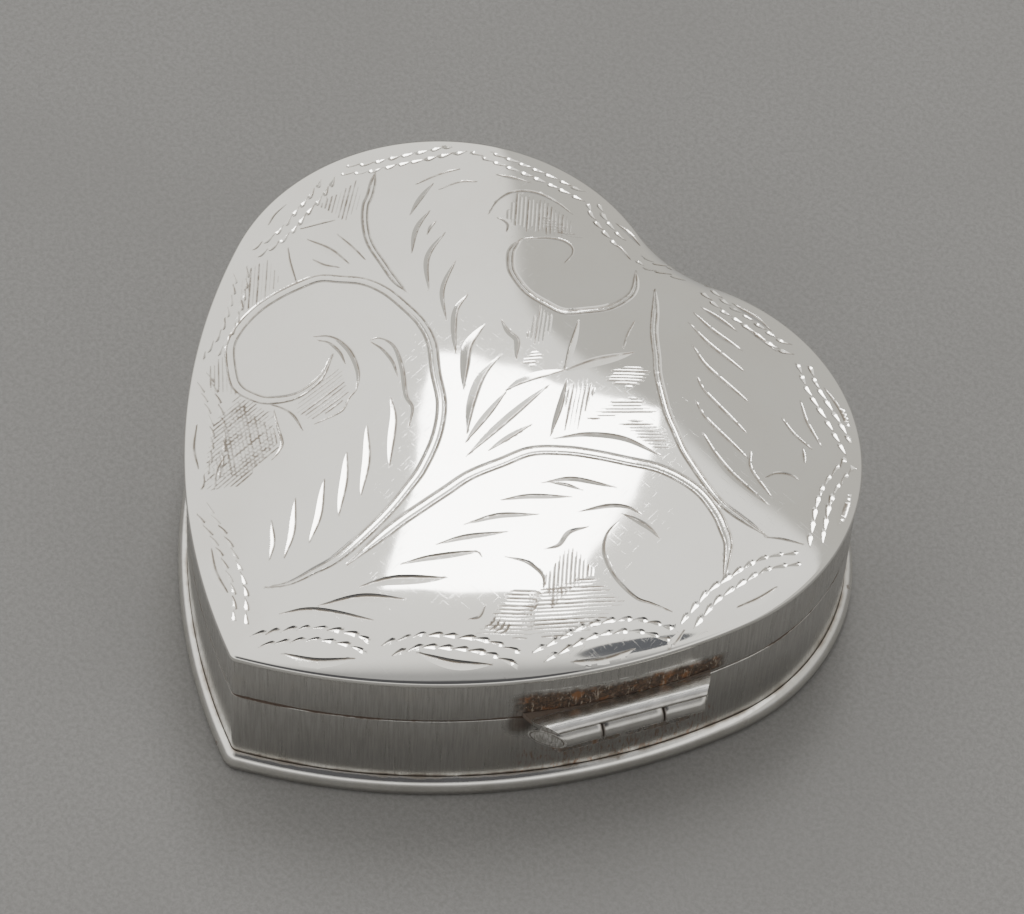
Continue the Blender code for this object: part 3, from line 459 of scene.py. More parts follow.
def inside_silver():
    """The inside walls and the base: pale, unpolished silver with cloudy tarnish."""
    s = Surface("inside_silver")
    cloud = s.noise(0.16, 4, 0.6)
    spots = s.noise(0.8, 4, 0.65)
    color = s.mix(s.remap(cloud, 0.4, 0.68), (0.80, 0.785, 0.75), (0.60, 0.565, 0.50))
    color = s.layer(color, (0.33, 0.27, 0.21), s.remap(spots, 0.58, 0.72), 0.5)
    rough = s.plus(0.24, s.times(cloud, 0.16))
    rings = s.bump(s.noise(1.0, 2, 0.5, (0.5, 5.0, 5.0)), 0.3, 0.01)
    normal = s.bump(s.noise(3.5, 3, 0.6), 0.25, 0.015, rings)
    return s.finish(Base_Color=color, Roughness=rough, Metallic=1.0, Normal=normal)


def metal(name, light, dark, rough, stretch=None, spots=0.3, spot_color=None, spin=None):
    """A worked metal: drawn lines, or rings turned about the upright line at spin."""
    s = Surface(name)
    where = None
    if spin:
        x, y, z = s.split()
        radius = s.vector("LENGTH", s.join(s.minus(x, spin[0]), s.minus(y, spin[1]), 0.0))
        where = s.join(s.times(radius, 7.0), s.times(z, 2.0), 0.0)
    lines = s.noise(1.0, 3, 0.6, stretch, where)
    color = s.mix(s.remap(s.noise(0.3, 4, 0.6), 0.35, 0.7), light, dark)
    color = s.layer(color, dark, s.remap(lines, 0.4, 0.8), 0.25)
    marks = s.times(s.remap(s.noise(1.6, 4, 0.7), 0.6, 0.72), spots)
    color = s.layer(color, spot_color or tuple(c * 0.35 for c in dark), marks)
    shine = s.plus(rough, s.times(lines, 0.12), s.times(marks, 0.3), clamp=True)
    normal = s.bump(lines, 0.4, 0.012)
    return s.finish(Base_Color=color, Roughness=shine, Metallic=1.0, Normal=normal)


def clear_cover():
    """The cover over the works: clear sheet with faint scratches and dust."""
    s = Surface("clear_cover_sheet")
    dust = s.remap(s.noise(2.2, 5, 0.7), 0.58, 0.74)
    scuffs = s.remap(s.noise(1.0, 2, 0.5, (7.0, 0.5, 1.0), bend=0.4), 0.66, 0.72)
    rough = s.plus(0.03, s.times(s.plus(dust, scuffs), 0.1), clamp=True)
    color = s.layer((0.95, 0.965, 0.96), (0.82, 0.81, 0.78), dust, 0.25)
    normal = s.bump(scuffs, 0.15, 0.01)
    s.finish(Transmission_Weight=1.0, IOR=1.47)
    return s.finish(Base_Color=color, Roughness=rough, Normal=normal)


def make_floor():
    """A plain pale studio floor with a soft, slightly fibrous surface."""
    light, dark = (0.30, 0.298, 0.295), (0.235, 0.233, 0.23)
    s = Surface("pale_floor")
    felt = s.noise(2.1, 4, 0.75)
    color = s.mix(s.remap(felt, 0.3, 0.7), light, dark)
    color = s.layer(color, dark, s.remap(s.noise(0.035, 2, 0.5), 0.35, 0.7), 0.3)
    s.finish(Base_Color=color, Roughness=0.85, Specular_IOR_Level=0.2)
    s.finish(Normal=s.bump(felt, 0.5, 0.12))
    mesh = bpy.data.meshes.new("floor")
    mesh.from_pydata([(-3, -3, 0), (3, -3, 0), (3, 3, 0), (-3, 3, 0)], [], [(0, 1, 2, 3)])
    mesh.materials.append(s.material)
    floor = bpy.data.objects.new("floor", mesh)
    bpy.context.collection.objects.link(floor)


# ---------------------------------------------------------------- the engraved lid


def lengths(line):
    """How far along a line each of its points is."""
    return np.concatenate([[0], np.cumsum(np.linalg.norm(np.diff(line, axis=0), axis=1))])


def along_line(line, gone, at):
    return np.column_stack([np.interp(at, gone, line[:, k]) for k in (0, 1)])


def through(points, step=0.25):
    """A smooth line through given points, in even steps."""
    p = np.array(points, float)
    p = np.concatenate([[2 * p[0] - p[1]], p, [2 * p[-1] - p[-2]]])
    out = []
    for a, b, c, d in zip(p, p[1:], p[2:], p[3:]):
        count = max(2, int(np.linalg.norm(c - b) / 0.12))
        t = np.linspace(0, 1, count, endpoint=False)[:, None]
        bend, twist = 2 * a - 5 * b + 4 * c - d, 3 * b - a - 3 * c + d
        out.append(0.5 * (2 * b + (c - a) * t + bend * t**2 + twist * t**3))
    line = np.concatenate([*out, p[-2:-1]])
    gone = lengths(line)
    return along_line(line, gone, np.linspace(0, gone[-1], max(3, round(gone[-1] / step) + 1)))


def sideways(line):
    """The unit direction to the left of a line at each of its points."""
    way = np.gradient(line, axis=0)
    way /= np.linalg.norm(way, axis=1)[:, None] + 1e-12
    return np.column_stack([-way[:, 1], way[:, 0]])


class Engraving:
    """Cuts in a flat map of the lid, and the mesh points that show them well."""

    CELL = 0.05
    X0, Y0, WIDE, HIGH = -37.0, -36.0, 1480, 1420

    def __init__(self):
        self.depth = np.zeros((self.HIGH, self.WIDE), np.float32)
        self.core = np.zeros((self.HIGH, self.WIDE), np.float32)
        self.points = {"middles": [], "sides": [], "beyond": []}
        self.rng = np.random.default_rng(11)

    def cut(self, line, width, depth, shape="lens", lean=0.0, rows=True, dirt=1.0):
        """One groove. lean moves its deepest line left, so its right flank is the broad one."""
        t = np.linspace(0, 1, len(line))
        if shape == "lens":
            swell = np.sin(np.pi * t) ** 0.75
        elif shape == "late":  # drawn out at the start, broad at the end
            swell = np.minimum(1, (1 - t) / 0.15) ** 0.6 * t**0.8 * 1.1
        else:
            swell = np.minimum(1, np.minimum(t, 1 - t) / 0.06 + 0.08)
        left = width / 2 * (1 - lean) * swell + 0.02
        right = width / 2 * (1 + lean) * swell + 0.02
        deep = depth * swell
        for i in range(len(line) - 1):
            self.groove(line[i : i + 2], left[i : i + 2], right[i : i + 2], deep[i : i + 2], dirt)
        if rows:
            side = sideways(line)
            left, right = left[:, None], right[:, None]
            self.points["middles"].append(line)
            self.points["sides"] += [line + side * left, line - side * right]
            self.points["beyond"] += [line + side * (left + 0.1), line - side * (right + 0.1)]
            if right.max() > 0.24:
                self.points["sides"] += [line - side * 0.15, line - side * right * 0.6]

    def groove(self, ends, left, right, deep, dirt):
        """One straight stretch of a groove, cut into the maps."""
        a, b = ends
        reach = max(*left, *right)
        corner = (self.X0, self.Y0)
        i0, j0 = ((np.minimum(a, b) - reach - corner) / self.CELL).astype(int)
        i1, j1 = ((np.maximum(a, b) + reach - corner) / self.CELL).astype(int) + 2
        if i0 < 0 or j0 < 0 or i1 > self.WIDE or j1 > self.HIGH:
            return
        xs = self.X0 + (np.arange(i0, i1) + 0.5) * self.CELL
        ys = self.Y0 + (np.arange(j0, j1) + 0.5) * self.CELL
        dx, dy = xs[None, :] - a[0], ys[:, None] - a[1]
        ex, ey = b - a
        share = np.clip((dx * ex + dy * ey) / (ex * ex + ey * ey + 1e-12), 0, 1)
        off = np.hypot(dx - share * ex, dy - share * ey)
        on_left = ex * dy - ey * dx > 0
        first, last = np.where(on_left, left[0], right[0]), np.where(on_left, left[1], right[1])
        wide = first + (last - first) * share
        here = (deep[0] + (deep[1] - deep[0]) * share) * (1 - off / wide)
        # The core map sets how dark each cut is painted: tarnish, and painted shade on its steep
        # left flank and just past that edge.
        near = np.where(on_left, 1 - off / (left[0] + 0.06), 1 - off / 0.24) * dirt
        for grid, values in ((self.depth, here), (self.core, near)):
            window = grid[j0:j1, i0:i1]
            np.maximum(window, values, out=window)

    def ribbon(self, points, gap, width, depth):
        """Two cuts side by side, meeting at both ends, with a slightly sunk strip between them."""
        line = through(points, 0.22)
        t = np.linspace(0, 1, len(line))
        spread = (gap / 2 * np.minimum(1, np.minimum(t, 1 - t) / 0.12 + 0.15))[:, None]
        side = sideways(line)
        self.cut(line, gap * 0.9, depth * 0.5, "even", dirt=0.0)
        self.cut(line + side * spread, width * 1.3, depth * 1.35, "even", lean=-0.4, dirt=0.8)
        self.cut(line - side * spread, width * 1.1, depth * 1.1, "even", lean=0.4)

    def hatch(self, corners, angle):
        """Fine lines across a patch, each a little long or short."""
        pitch, width, depth = 0.4, 0.24, 0.026
        turn = math.radians(angle)
        way = np.array([math.cos(turn), math.sin(turn)])
        across = np.array([-math.sin(turn), math.cos(turn)])
        level = corners @ across
        for at in np.arange(level.min() + pitch / 2, level.max(), pitch):
            ends = []
            for k in range(len(corners)):
                a, b = level[k - 1], level[k]
                if (a - at) * (b - at) < 0:
                    p = corners[k - 1] + (corners[k] - corners[k - 1]) * (at - a) / (b - a)
                    ends.append(p @ way)
            ends.sort()
            for first, last in zip(ends[::2], ends[1::2]):
                first += self.rng.uniform(-0.2, 0.25)
                last += self.rng.uniform(-0.25, 0.2)
                if last - first < 0.4:
                    continue
                count = max(4, round((last - first) / 0.3) + 1)
                line = way * np.linspace(first, last, count)[:, None] + across * at
                strength = self.rng.uniform(0.5, 1.15)
                self.cut(line, width, depth * strength, rows=False, dirt=min(1.0, strength))
                self.points["middles"].append(line)
                half = across * pitch / 2
                self.points["sides"] += [line + half, line - half]

    def stitches(self, points):
        """A double row of small wedge cuts along an arch: the inner row, and one beyond it."""
        pitch, size, beyond = 1.5, 1.42, 1.2
        path = through(points, 0.1)
        side = sideways(path)
        if side[len(side) // 2] @ path[len(path) // 2] < 0:
            side = -side
        for row, start in ((0.0, 0.05), (beyond, 0.75)):
            line = path + side * row
            gone = lengths(line)
            for at in np.arange(start, gone[-1] - size * 0.55, pitch):
                long = size * self.rng.uniform(0.88, 1.12)
                ends = along_line(line, gone, [at, at + long / 2, at + long])
                out_way = side[min(int(at / 0.1), len(side) - 1)]
                ends[0] += out_way * (0.16 + self.rng.uniform(-0.05, 0.1))
                ends[2] -= out_way * 0.1
                wide = 0.62 * self.rng.uniform(0.85, 1.15)
                dirt = self.rng.uniform(0.6, 1.0)
                self.cut(through(ends, 0.17), wide, 0.105, "late", lean=0.35, dirt=dirt)

    def sample(self, x, y, grid=None):
        grid = self.depth if grid is None else grid
        u = np.clip((x - self.X0) / self.CELL - 0.5, 0, self.WIDE - 2)
        v = np.clip((y - self.Y0) / self.CELL - 0.5, 0, self.HIGH - 2)
        i, j = u.astype(int), v.astype(int)
        fu, fv = u - i, v - j
        top = grid[j, i] * (1 - fu) + grid[j, i + 1] * fu
        low = grid[j + 1, i] * (1 - fu) + grid[j + 1, i + 1] * fu
        return top * (1 - fv) + low * fv


# The lid's design, in mm. Every run of numbers is x, y, x, y.

# Ribbons: gap, width, depth and a line. The left stem and its volute, the right stem and its
# volute, the stems of the right and left lobes, and the scroll by the cleft.
RIBBONS = (
    (0.75, 0.24, 0.075, -2.5, -26.2, -1, -24.5, 0, -22, 0.75, -19.5, 1, -15.5, 0.9, -12, 0.5, -9,
     0, -6.5, -1.5, -2.75, -3.75, 0.5, -6.75, 3, -9.5, 5.5, -12, 6.75, -14.5, 7.25, -17.5, 7.5,
     -20, 7, -22, 5.75, -23.75, 4.5, -24.75, 2.5, -25.6, 0, -26, -2.5, -25.75, -5.25, -24.75, -7.5,
     -22, -10, -20.5, -10.75, -19, -10.75, -17.25, -10.25, -15.5, -8.5, -14.9, -6.5, -15, -4.5,
     -16, -2.1),
    (0.85, 0.24, 0.07, 1.9, -19.5, 2.5, -13.25, 3, -10, 3.5, -7, 4, -4, 5.25, -0.75, 6.5, 2.25,
     9, 4.75, 11.5, 6.5, 14, 8, 16.5, 9.5, 19, 10.25, 21.5, 10.4, 24, 9.75, 25.5, 9, 27, 8,
     28.25, 6.25, 29.25, 4.75),
    (0.5, 0.26, 0.08, 1.5, 27, 3.5, 24.5, 5.25, 22.25, 7.5, 20, 9, 18.4, 11, 16.75, 13, 15.25,
     15, 14.1, 17, 13, 19, 12.25, 21, 11.6, 23, 11.1, 25, 11, 29, 11.5),
    (0.42, 0.28, 0.085, -29.5, 19.25, -27.75, 16.5, -27, 15, -25.25, 13, -23, 11.25, -20, 10,
     -18, 9.25, -16, 8.8),
    (0.42, 0.3, 0.09, -12.25, 22.25, -11.9, 20.25, -10.5, 18.5, -9.25, 17.75, -7, 17.1,
     -4.75, 17.25, -2.75, 17.75, -1.25, 19.5, 0, 21.5, 0.4, 23.75, 0, 25.5, -1.5, 27.5),
)
# Curling lines: width, depth and a line.
CURLS = (
    (0.62, 0.12, -19, -1.5, -18, -0.6, -16.75, -0.25, -15, -0.5, -13.25, -1.4, -12, -2.5,
     -11.1, -3.9),
    (0.4, 0.09, -18.4, -1.6, -17.2, -1.1, -15.6, -1.3, -14.2, -2.1),
    (0.36, 0.09, -16.6, -10.4, -15.25, -10, -13.75, -10, -12, -10.75),
    (0.34, 0.09, -15.75, -10.75, -14, -12, -12.5, -13, -12, -14, -11.9, -15.25),
    (0.3, 0.08, -11.1, -3.9, -11, -5, -10.5, -6.5, -10.9, -8, -11.5, -9.5),
    (0.42, 0.09, 17.9, 2.25, 18, 0.5, 18.75, -1, 20, -2, 22, -2.75, 24.5, -2.9, 26, -2.25,
     27.9, -1.5),
    (0.5, 0.1, 14.5, 0.25, 16, 2.75, 17.5, 4, 19, 4.25),
    (0.6, 0.09, 17.6, 3, 19, 3.5, 20.6, 3.75, 22, 3.5),
    (0.28, 0.07, 29, 11.25, 30.25, 12.4, 32, 13.5),
    (0.4, 0.09, -12.25, 22.25, -10.5, 24.25, -9.25, 25.1, -8, 25.1, -7.25, 24.25, -7, 22.75),
    (0.46, 0.1, -17, 22.5, -17.6, 24.5, -17.5, 26.5, -16.6, 27.8, -15.25, 28.6, -13.25, 28.9,
     -11, 28.75),
    (0.36, 0.09, -16, 22.75, -15.2, 22.95, -14.5, 22.75, -14, 21.9),
    (0.5, 0.1, 16.25, -0.5, 15.4, -2.25, 15.6, -4, 14.9, -5.25),
    (0.4, 0.09, 12.75, -8.5, 14.5, -7.5, 16.5, -7.5, 17.6, -8.5),
    (0.34, 0.08, 14.75, -13.75, 15.1, -15, 14.5, -15.9),
    (0.5, 0.1, 24.6, 16.5, 25, 17.75, 25.9, 18.6, 27, 18.9),
    (0.55, 0.11, -14.4, 1.75, -13.75, 2.6, -12, 2.75, -9.5, 1.25, -7, -1, -5.5, -1.75,
     -4.25, -3.75),
    (0.4, 0.08, -14.2, 1.6, -12.6, 1.7, -10.8, 1.2, -9.2, 0.1),
)
# Gouges, broad in the middle, each with one bright flank: width and a line.
GOUGES = (
    (0.62, -28, 11.4, -29, 10, -29.9, 8.4), (0.46, -29, 5.6, -27.6, 4.4, -25.25, 2.75),
    (0.5, -26.25, 10.1, -24, 9.8, -21.9, 9.3), (0.9, -28.25, 7.75, -25.6, 8.2, -23, 7.9),
    (0.6, -26, 6, -24.6, 6.2, -23.25, 6.8), (0.55, -7.25, 31.3, -5.5, 31.4, -3.75, 30.9),
    (0.45, -5.25, 28.9, -4.2, 28.8, -3, 28.4), (0.46, -24, 22, -23.4, 19.5, -22.7, 17),
    (0.5, -21.6, 18.75, -20.75, 16, -19, 13.1), (0.52, -18.4, 17.5, -17.25, 13.75, -14.4, 10.5),
    (0.46, -15, 15.25, -13.25, 11.5, -10.5, 8.75), (0.66, -25.25, 20.75, -24.5, 23.5, -23.5, 25.5),
    (0.55, -23, 21.75, -22.25, 24, -21, 25.25), (0.4, -20.25, 27.5, -18.8, 28.4, -17.25, 29),
    (0.3, -20.1, 18, -19.9, 17, -19.6, 16.2), (0.5, 6.25, 28.6, 8.5, 28.8, 10.75, 28.75),
    (0.55, 6.25, 27.4, 9, 27, 12.75, 27.1), (0.6, 7, 25.9, 10, 25.25, 14.75, 25.1),
    (0.6, 9.25, 23.75, 12, 22.75, 17.5, 22.4), (0.55, 12, 21, 14, 20.1, 19.9, 19.25),
    (0.52, 14, 18.5, 16.25, 17.6, 21.9, 17), (0.6, 17, 16, 19.5, 15, 22.5, 14.4, 27, 14.3),
    (0.42, 10.25, 29.9, 12.6, 29.95, 15, 29.75), (0.55, 8, 31.6, 11, 31.9, 13, 31.6),
    (0.5, 21, 26.5, 23, 25, 25.9, 23.75), (0.4, 21.1, 23.4, 23.2, 22.8, 25.5, 22.75),
    (0.5, 21.6, 17.9, 23, 16.25, 26.4, 15.25), (0.4, 24.9, 22.1, 25.5, 21.5, 26.1, 20.9),
    (0.6, -11.1, 12.75, -10.5, 10.5, -9, 8.5, -7, 6.25),
    (0.95, -7.25, 11, -6.5, 8, -5, 5.75, -3.4, 3.4), (0.85, -3.5, 9, -3, 6, -1.5, 2.75, 0.5, -0.5),
    (0.6, -0.1, 6, 0.5, 3, 1.1, -1.4), (0.75, 2.4, 9.5, 2.4, 4, 2.25, -2.5),
    (0.5, 4.4, 4.75, 3.9, 2, 3.4, -0.6), (0.6, -6.5, 12.5, -5, 12, -3.5, 11.75, -2.1, 9.75),
    (0.8, 2.25, 12, 0.5, 8.5, -0.25, 6.1), (0.62, 2.25, 12, 0.5, 15, -1, 18),
    (1, 2.25, 12, 3.5, 15.25, 5.6, 18.75), (0.55, 3.25, 11.25, 5, 8.5, 6.6, 5),
    (0.6, 7.1, 5, 9, 7.75, 12, 10, 16, 10.9), (0.3, 3, 22, 3.6, 20.2, 4.5, 18.5),
    (0.7, -8, -2.25, -5.75, -4, -2.5, -8.5), (0.72, -7.5, -6.25, -4.5, -9.25, -2.25, -12.9),
    (0.72, -6.75, -10, -4.5, -12.5, -2.4, -15.9), (0.66, -6.25, -13.75, -3.75, -17, -2.5, -20),
    (0.62, -7, -17.1, -4.5, -20, -3.25, -22.75), (0.5, -7.1, -20.4, -5.25, -22, -4.25, -23.75),
    (0.5, 9.75, 0.25, 11.5, 2.75, 15.25, 4.9), (0.34, 10.25, 0.75, 11.5, 1.7, 13, 2.25),
    (0.52, 8.1, -4.1, 9.75, -1.75, 12.75, 0.9), (0.55, 7.4, -8.5, 9, -5.5, 11.75, -2.9),
    (0.55, 6.9, -12, 8.25, -9.5, 10.9, -6.4), (0.6, 5.75, -16, 7.25, -13.5, 10, -10.25, 11, -10.1),
    (0.95, 4.4, -20.4, 6.25, -17.5, 10, -14.1), (1, 2.75, -24.5, 5.25, -21, 8.5, -18.5),
    (0.9, 0.5, -27.5, 2.75, -25, 7.75, -22.1), (0.8, 24.4, -12.1, 26.3, -9.8, 27.75, -7),
    (0.85, 13, -21.75, 16.2, -20, 19, -17.75), (0.8, 3.5, -30.25, 6.4, -28.6, 9, -26.1),
    (0.7, 32, 3.5, 32.8, 5.8, 33.25, 8), (0.66, 31.25, 22, 32.2, 19.6, 33.6, 17.1),
    (0.6, 21.5, 29.75, 24, 28.9, 26.5, 27.5), (0.7, -21, -16.25, -19.4, -18.4, -17.25, -20),
    (0.7, -9.75, -26.1, -7.6, -27.7, -5.1, -28.75), (0.36, -16, -17.5, -15.6, -19, -14.75, -20.25),
    (0.4, -33.5, 10, -33.5, 8.5, -33, 7), (0.6, 30, -2, 30.2, -3.8, 30.1, -5.5),
    (0.22, 16.2, -13.9, 16.4, -14.7, 16.2, -15.4), (0.22, 16.7, -13.8, 16.9, -14.6, 16.7, -15.3),
    (0.22, 17.2, -13.7, 17.4, -14.4, 17.2, -15.1), (0.22, 17.7, -13.6, 17.9, -14.3, 17.7, -14.9),
)
# Shaded patches: the angle of their lines, and their corners.
PATCHES = (
    (-58, -30.6, 12, -27.2, 12, -27.4, 14.2, -28.6, 16, -30.2, 17),
    (-50, -29.4, 3.4, -26.6, 1.8, -26.4, -1.5, -27, -4, -29.6, -0.8, -30.6, 1),
    (-52, -17, 27, -15.5, 23.5, -13, 23, -9, 26.3, -10.5, 28, -14, 28),
    (40, -13, 26.6, -8.2, 26.8, -8.2, 26, -12, 25.4),
    (-56, -5, 16.6, -3, 16.6, -1.2, 13, -3.2, 12.4),
    (50, -1.6, 11.8, -0.4, 12, -0.2, 10.2, -1.4, 9.6),
    (44, 6, 14, 8.4, 15, 8.6, 18, 7, 17.6, 5.4, 15.4),
    (-58, 4.2, 13, 6, 12.4, 8, 7.4, 7, 6.4, 4, 10.4),
    (46, 8, 9, 10.4, 12.6, 12.4, 14.4, 9.6, 14.6, 8.2, 12.6),
    (46, 10, 10.8, 15.6, 11.2, 16, 12.6, 13.4, 13.6, 11.6, 12.6),
    (84, -14.6, -2.6, -11.6, -4.6, -11.2, -6.5, -12, -9.4, -14.4, -9.4),
    (84, -20, -11.4, -16, -11.2, -12.4, -14, -12.4, -19.4, -15, -21.6, -19.6, -15.6),
    (-38, -19.6, -12, -13, -12.4, -12.6, -18, -15.4, -20.4),
    (-52, 16.4, -3.4, 20, -3.4, 19.4, -9.4, 16.8, -7.6),
    (48, 17.4, -9, 20, -4.2, 24, -4, 23.6, -9, 21, -12.4, 17.6, -12.8),
    (42, 16, -16.4, 20, -13.6, 17.4, -9, 15.4, -11),
    (-46, -24.6, -8.4, -21.8, -11, -20.2, -11.2, -22.8, -12.6, -24.8, -10.6),
)
# The scalloped border: arches whose points reach for the rim.
ARCHES = (
    (-0.2, -31, 1.6, -28.8, 3.7, -26.6, 5.8, -25.1, 7.8, -24.1, 9.5, -23.8),
    (9.9, -23.4, 11.1, -21.6, 12.4, -19.8, 15.8, -17.1, 18, -15.8, 20.6, -14.8),
    (20.9, -14.2, 21.6, -12.5, 22.2, -10.6, 23, -8.4, 24.6, -6, 26.4, -4.2, 28.9, -2.7),
    (29.2, -2, 29, 0.8, 28.9, 2.7, 29.3, 5.3, 29.9, 8.2, 30.8, 10.3, 32.4, 12.6),
    (32.5, 13.6, 31, 16.1, 29.9, 18, 29.1, 19.9, 28.7, 21.7, 28.4, 24.2),
    (28.2, 24.7, 25, 26.2, 22.8, 27.1, 20.1, 28.3, 17.7, 30),
    (16.6, 30.5, 14.3, 29.9, 10, 29.9, 7.5, 29.8, 4, 30.6),
    (2.6, 30.4, 0.8, 29.8, -1, 28.7, -2.4, 28.7), (-4.6, 28.6, -7, 29.1, -9.4, 29.9, -11, 31),
    (-11.4, 31.1, -14.9, 30.4, -18.7, 29.5, -22.1, 28.6, -24.2, 28.3),
    (-24.6, 28, -25.9, 26, -27, 24, -28.3, 21.9, -30, 19, -32, 16.9),
    (-32.1, 16.2, -31.5, 14.3, -31, 12, -30.8, 10.4, -30.3, 7.8, -30.3, 5.4, -30.9, 2.9),
    (-30.7, 1.5, -28.6, -1.1, -26.9, -3.9, -25.8, -6.2, -25.1, -9.6),
    (-24.6, -10.8, -21.6, -12.6, -19.4, -14.2, -17.8, -15.6, -15.9, -17.9, -14.9, -19.6,
     -14.1, -21.6),
    (-13.7, -22.4, -11.9, -23.3, -9.7, -24.1, -7.3, -25.3, -5, -26.6, -3.3, -27.9, -1.2, -30.2),
)


def pairs(numbers):
    return np.array(numbers, float).reshape(-1, 2)


def engrave():
    e = Engraving()
    for gap, width, depth, *line in RIBBONS:
        e.ribbon(pairs(line), gap, width, depth)
    for width, depth, *line in CURLS:
        e.cut(through(pairs(line)), width, depth, lean=0.35)
    for width, *line in GOUGES:
        line = pairs(line)
        # The right lobe's leaf is cut the deepest.
        leaf = line[1, 1] > 14 and line[1, 0] > 5
        deep = 0.06 + 0.13 * width if leaf else 0.05 + 0.06 * width
        e.cut(through(line, 0.22), width * 1.15, deep, lean=0.55)
    for angle, *corners in PATCHES:
        e.hatch(pairs(corners), angle)
    for line in ARCHES:
        e.stitches(pairs(line))
    return e


def dome_shape():
    """A function of (x, y) giving the share of the way to the rim; its contours soften inwards."""
    rim = heart(0.05, 3)
    angle, radius = np.arctan2(rim[:, 1], rim[:, 0]), np.hypot(rim[:, 0], rim[:, 1])
    order = np.argsort(angle)
    even = np.linspace(-math.pi, math.pi, 1440, endpoint=False)
    edge = np.interp(even, angle[order], radius[order], period=2 * math.pi)
    waves = np.fft.rfft(edge)
    waves *= np.exp(-((np.arange(len(waves)) / 3.2) ** 2))
    soft = np.fft.irfft(waves, len(even))

    def share(x, y):
        turn, far = np.arctan2(y, x), np.hypot(x, y)
        outer = np.interp(turn, even, edge, period=2 * math.pi)
        inner = np.interp(turn, even, soft, period=2 * math.pi)
        s = np.clip(far / outer, 0, 1)
        for _ in range(40):
            s = 0.5 * s + 0.5 * np.clip(far / (inner + (outer - inner) * s**3), 0, 1)
        return s

    return share


SHARE = dome_shape()
CUT_LIMIT = 0.979  # beyond this share of the way to the rim, nothing is cut


def smooth_z(x, y):
    """The uncut dome. It is hand-worked sheet, so it isn't quite true."""
    s = SHARE(x, y)
    z = SHOULDER_Z + DOME_H * (1 - s**2.4 * (1 - 1e-9)) ** 0.9
    waves = np.sin(x / 3.9 + 1.1) * np.sin(y / 4.7 - 0.4) + np.sin(x / 6.1 - y / 5.3)
    return z + 0.022 * (1 - s**4) * waves


def slopes(height, x, y, step):
    """How much a height rises along x and along y."""
    rise_x = height(x + step, y) - height(x - step, y)
    rise_y = height(x, y + step) - height(x, y - step)
    return rise_x / (2 * step), rise_y / (2 * step)


def unit(vectors):
    return vectors / np.linalg.norm(vectors, axis=1)[:, None]


def read(items, key, wide=1, kind=float):
    """One value, or wide of them, from each item of a mesh's collection."""
    values = np.zeros(len(items) * wide, kind)
    items.foreach_get(key, values)
    return values.reshape(-1, wide) if wide > 1 else values


def lid_points(e):
    """The lid's points seen from above: the rim first, then the cuts, and an even grid between."""
    placed = np.concatenate([line for lines in e.points.values() for line in lines])
    thin_cell, free_cell, pitch = 0.085, 0.32, 0.5
    for shift in (0.0, thin_cell / 2):
        key = np.floor((placed + shift) / thin_cell).astype(int)
        _, first = np.unique(key[:, 0] * 100003 + key[:, 1], return_index=True)
        placed = placed[np.sort(first)]
    taken = set(map(tuple, np.floor(placed / free_cell).astype(int)))
    xs, ys = np.meshgrid(np.arange(-36, 36, pitch), np.arange(-35, 35, pitch * 0.866))
    xs[1::2] += pitch / 2
    grid = np.column_stack([xs.ravel(), ys.ravel()])
    free = np.array([tuple(k) not in taken for k in np.floor(grid / free_cell).astype(int)])
    inner = np.concatenate([placed, grid[free]])
    inner = inner[SHARE(inner[:, 0], inner[:, 1]) < 0.978]
    return np.concatenate([heart(0.05), heart(-0.14), heart(-0.4), inner])


def lid_normals(e, mesh, points, x, y, depth, ring_ids, rim):
    """Each corner's normal: the true dome where the sheet is uncut, the flank in a cut."""
    vertex = read(mesh.loops, "vertex_index", kind=np.int32)
    sizes = read(mesh.polygons, "loop_total", kind=np.int32)
    normals = read(mesh.vertex_normals, "vector", 3)
    slope_x, slope_y = slopes(smooth_z, x, y, 0.03)
    true = unit(np.column_stack([-slope_x, -slope_y, np.ones(len(x))]))
    inside = SHARE(x, y) < 0.997
    normals[: len(x)][inside] = true[inside]
    # The rim's own normals lean evenly outwards all the way round.
    outward = unit(heart(0.6) - rim)
    normals[ring_ids] = np.column_stack([outward * 0.62, np.full(len(rim), 0.78)])
    corner = normals[vertex]
    # A face is cut if any of its corners is.
    deepest = np.zeros(len(points))
    deepest[: len(depth)] = depth
    face_of = np.repeat(np.arange(len(sizes)), sizes)
    face_depth = np.zeros(len(sizes))
    np.maximum.at(face_depth, face_of, deepest[vertex])
    is_cut = face_depth[face_of] > 0.006
    # The flank that a cut face lies on is read a little way in from its corner.
    middles = read(mesh.polygons, "center", 3)[:, :2] / MM
    at = (points[vertex][:, :2] * 0.6 + middles[face_of] * 0.4)[is_cut]
    dx, dy = slopes(e.sample, at[:, 0], at[:, 1], 0.045)
    lying = true[np.minimum(vertex[is_cut], len(x) - 1)]
    corner[is_cut] = unit(np.column_stack([lying[:, 0] + dx, lying[:, 1] + dy, lying[:, 2]]))
    return corner


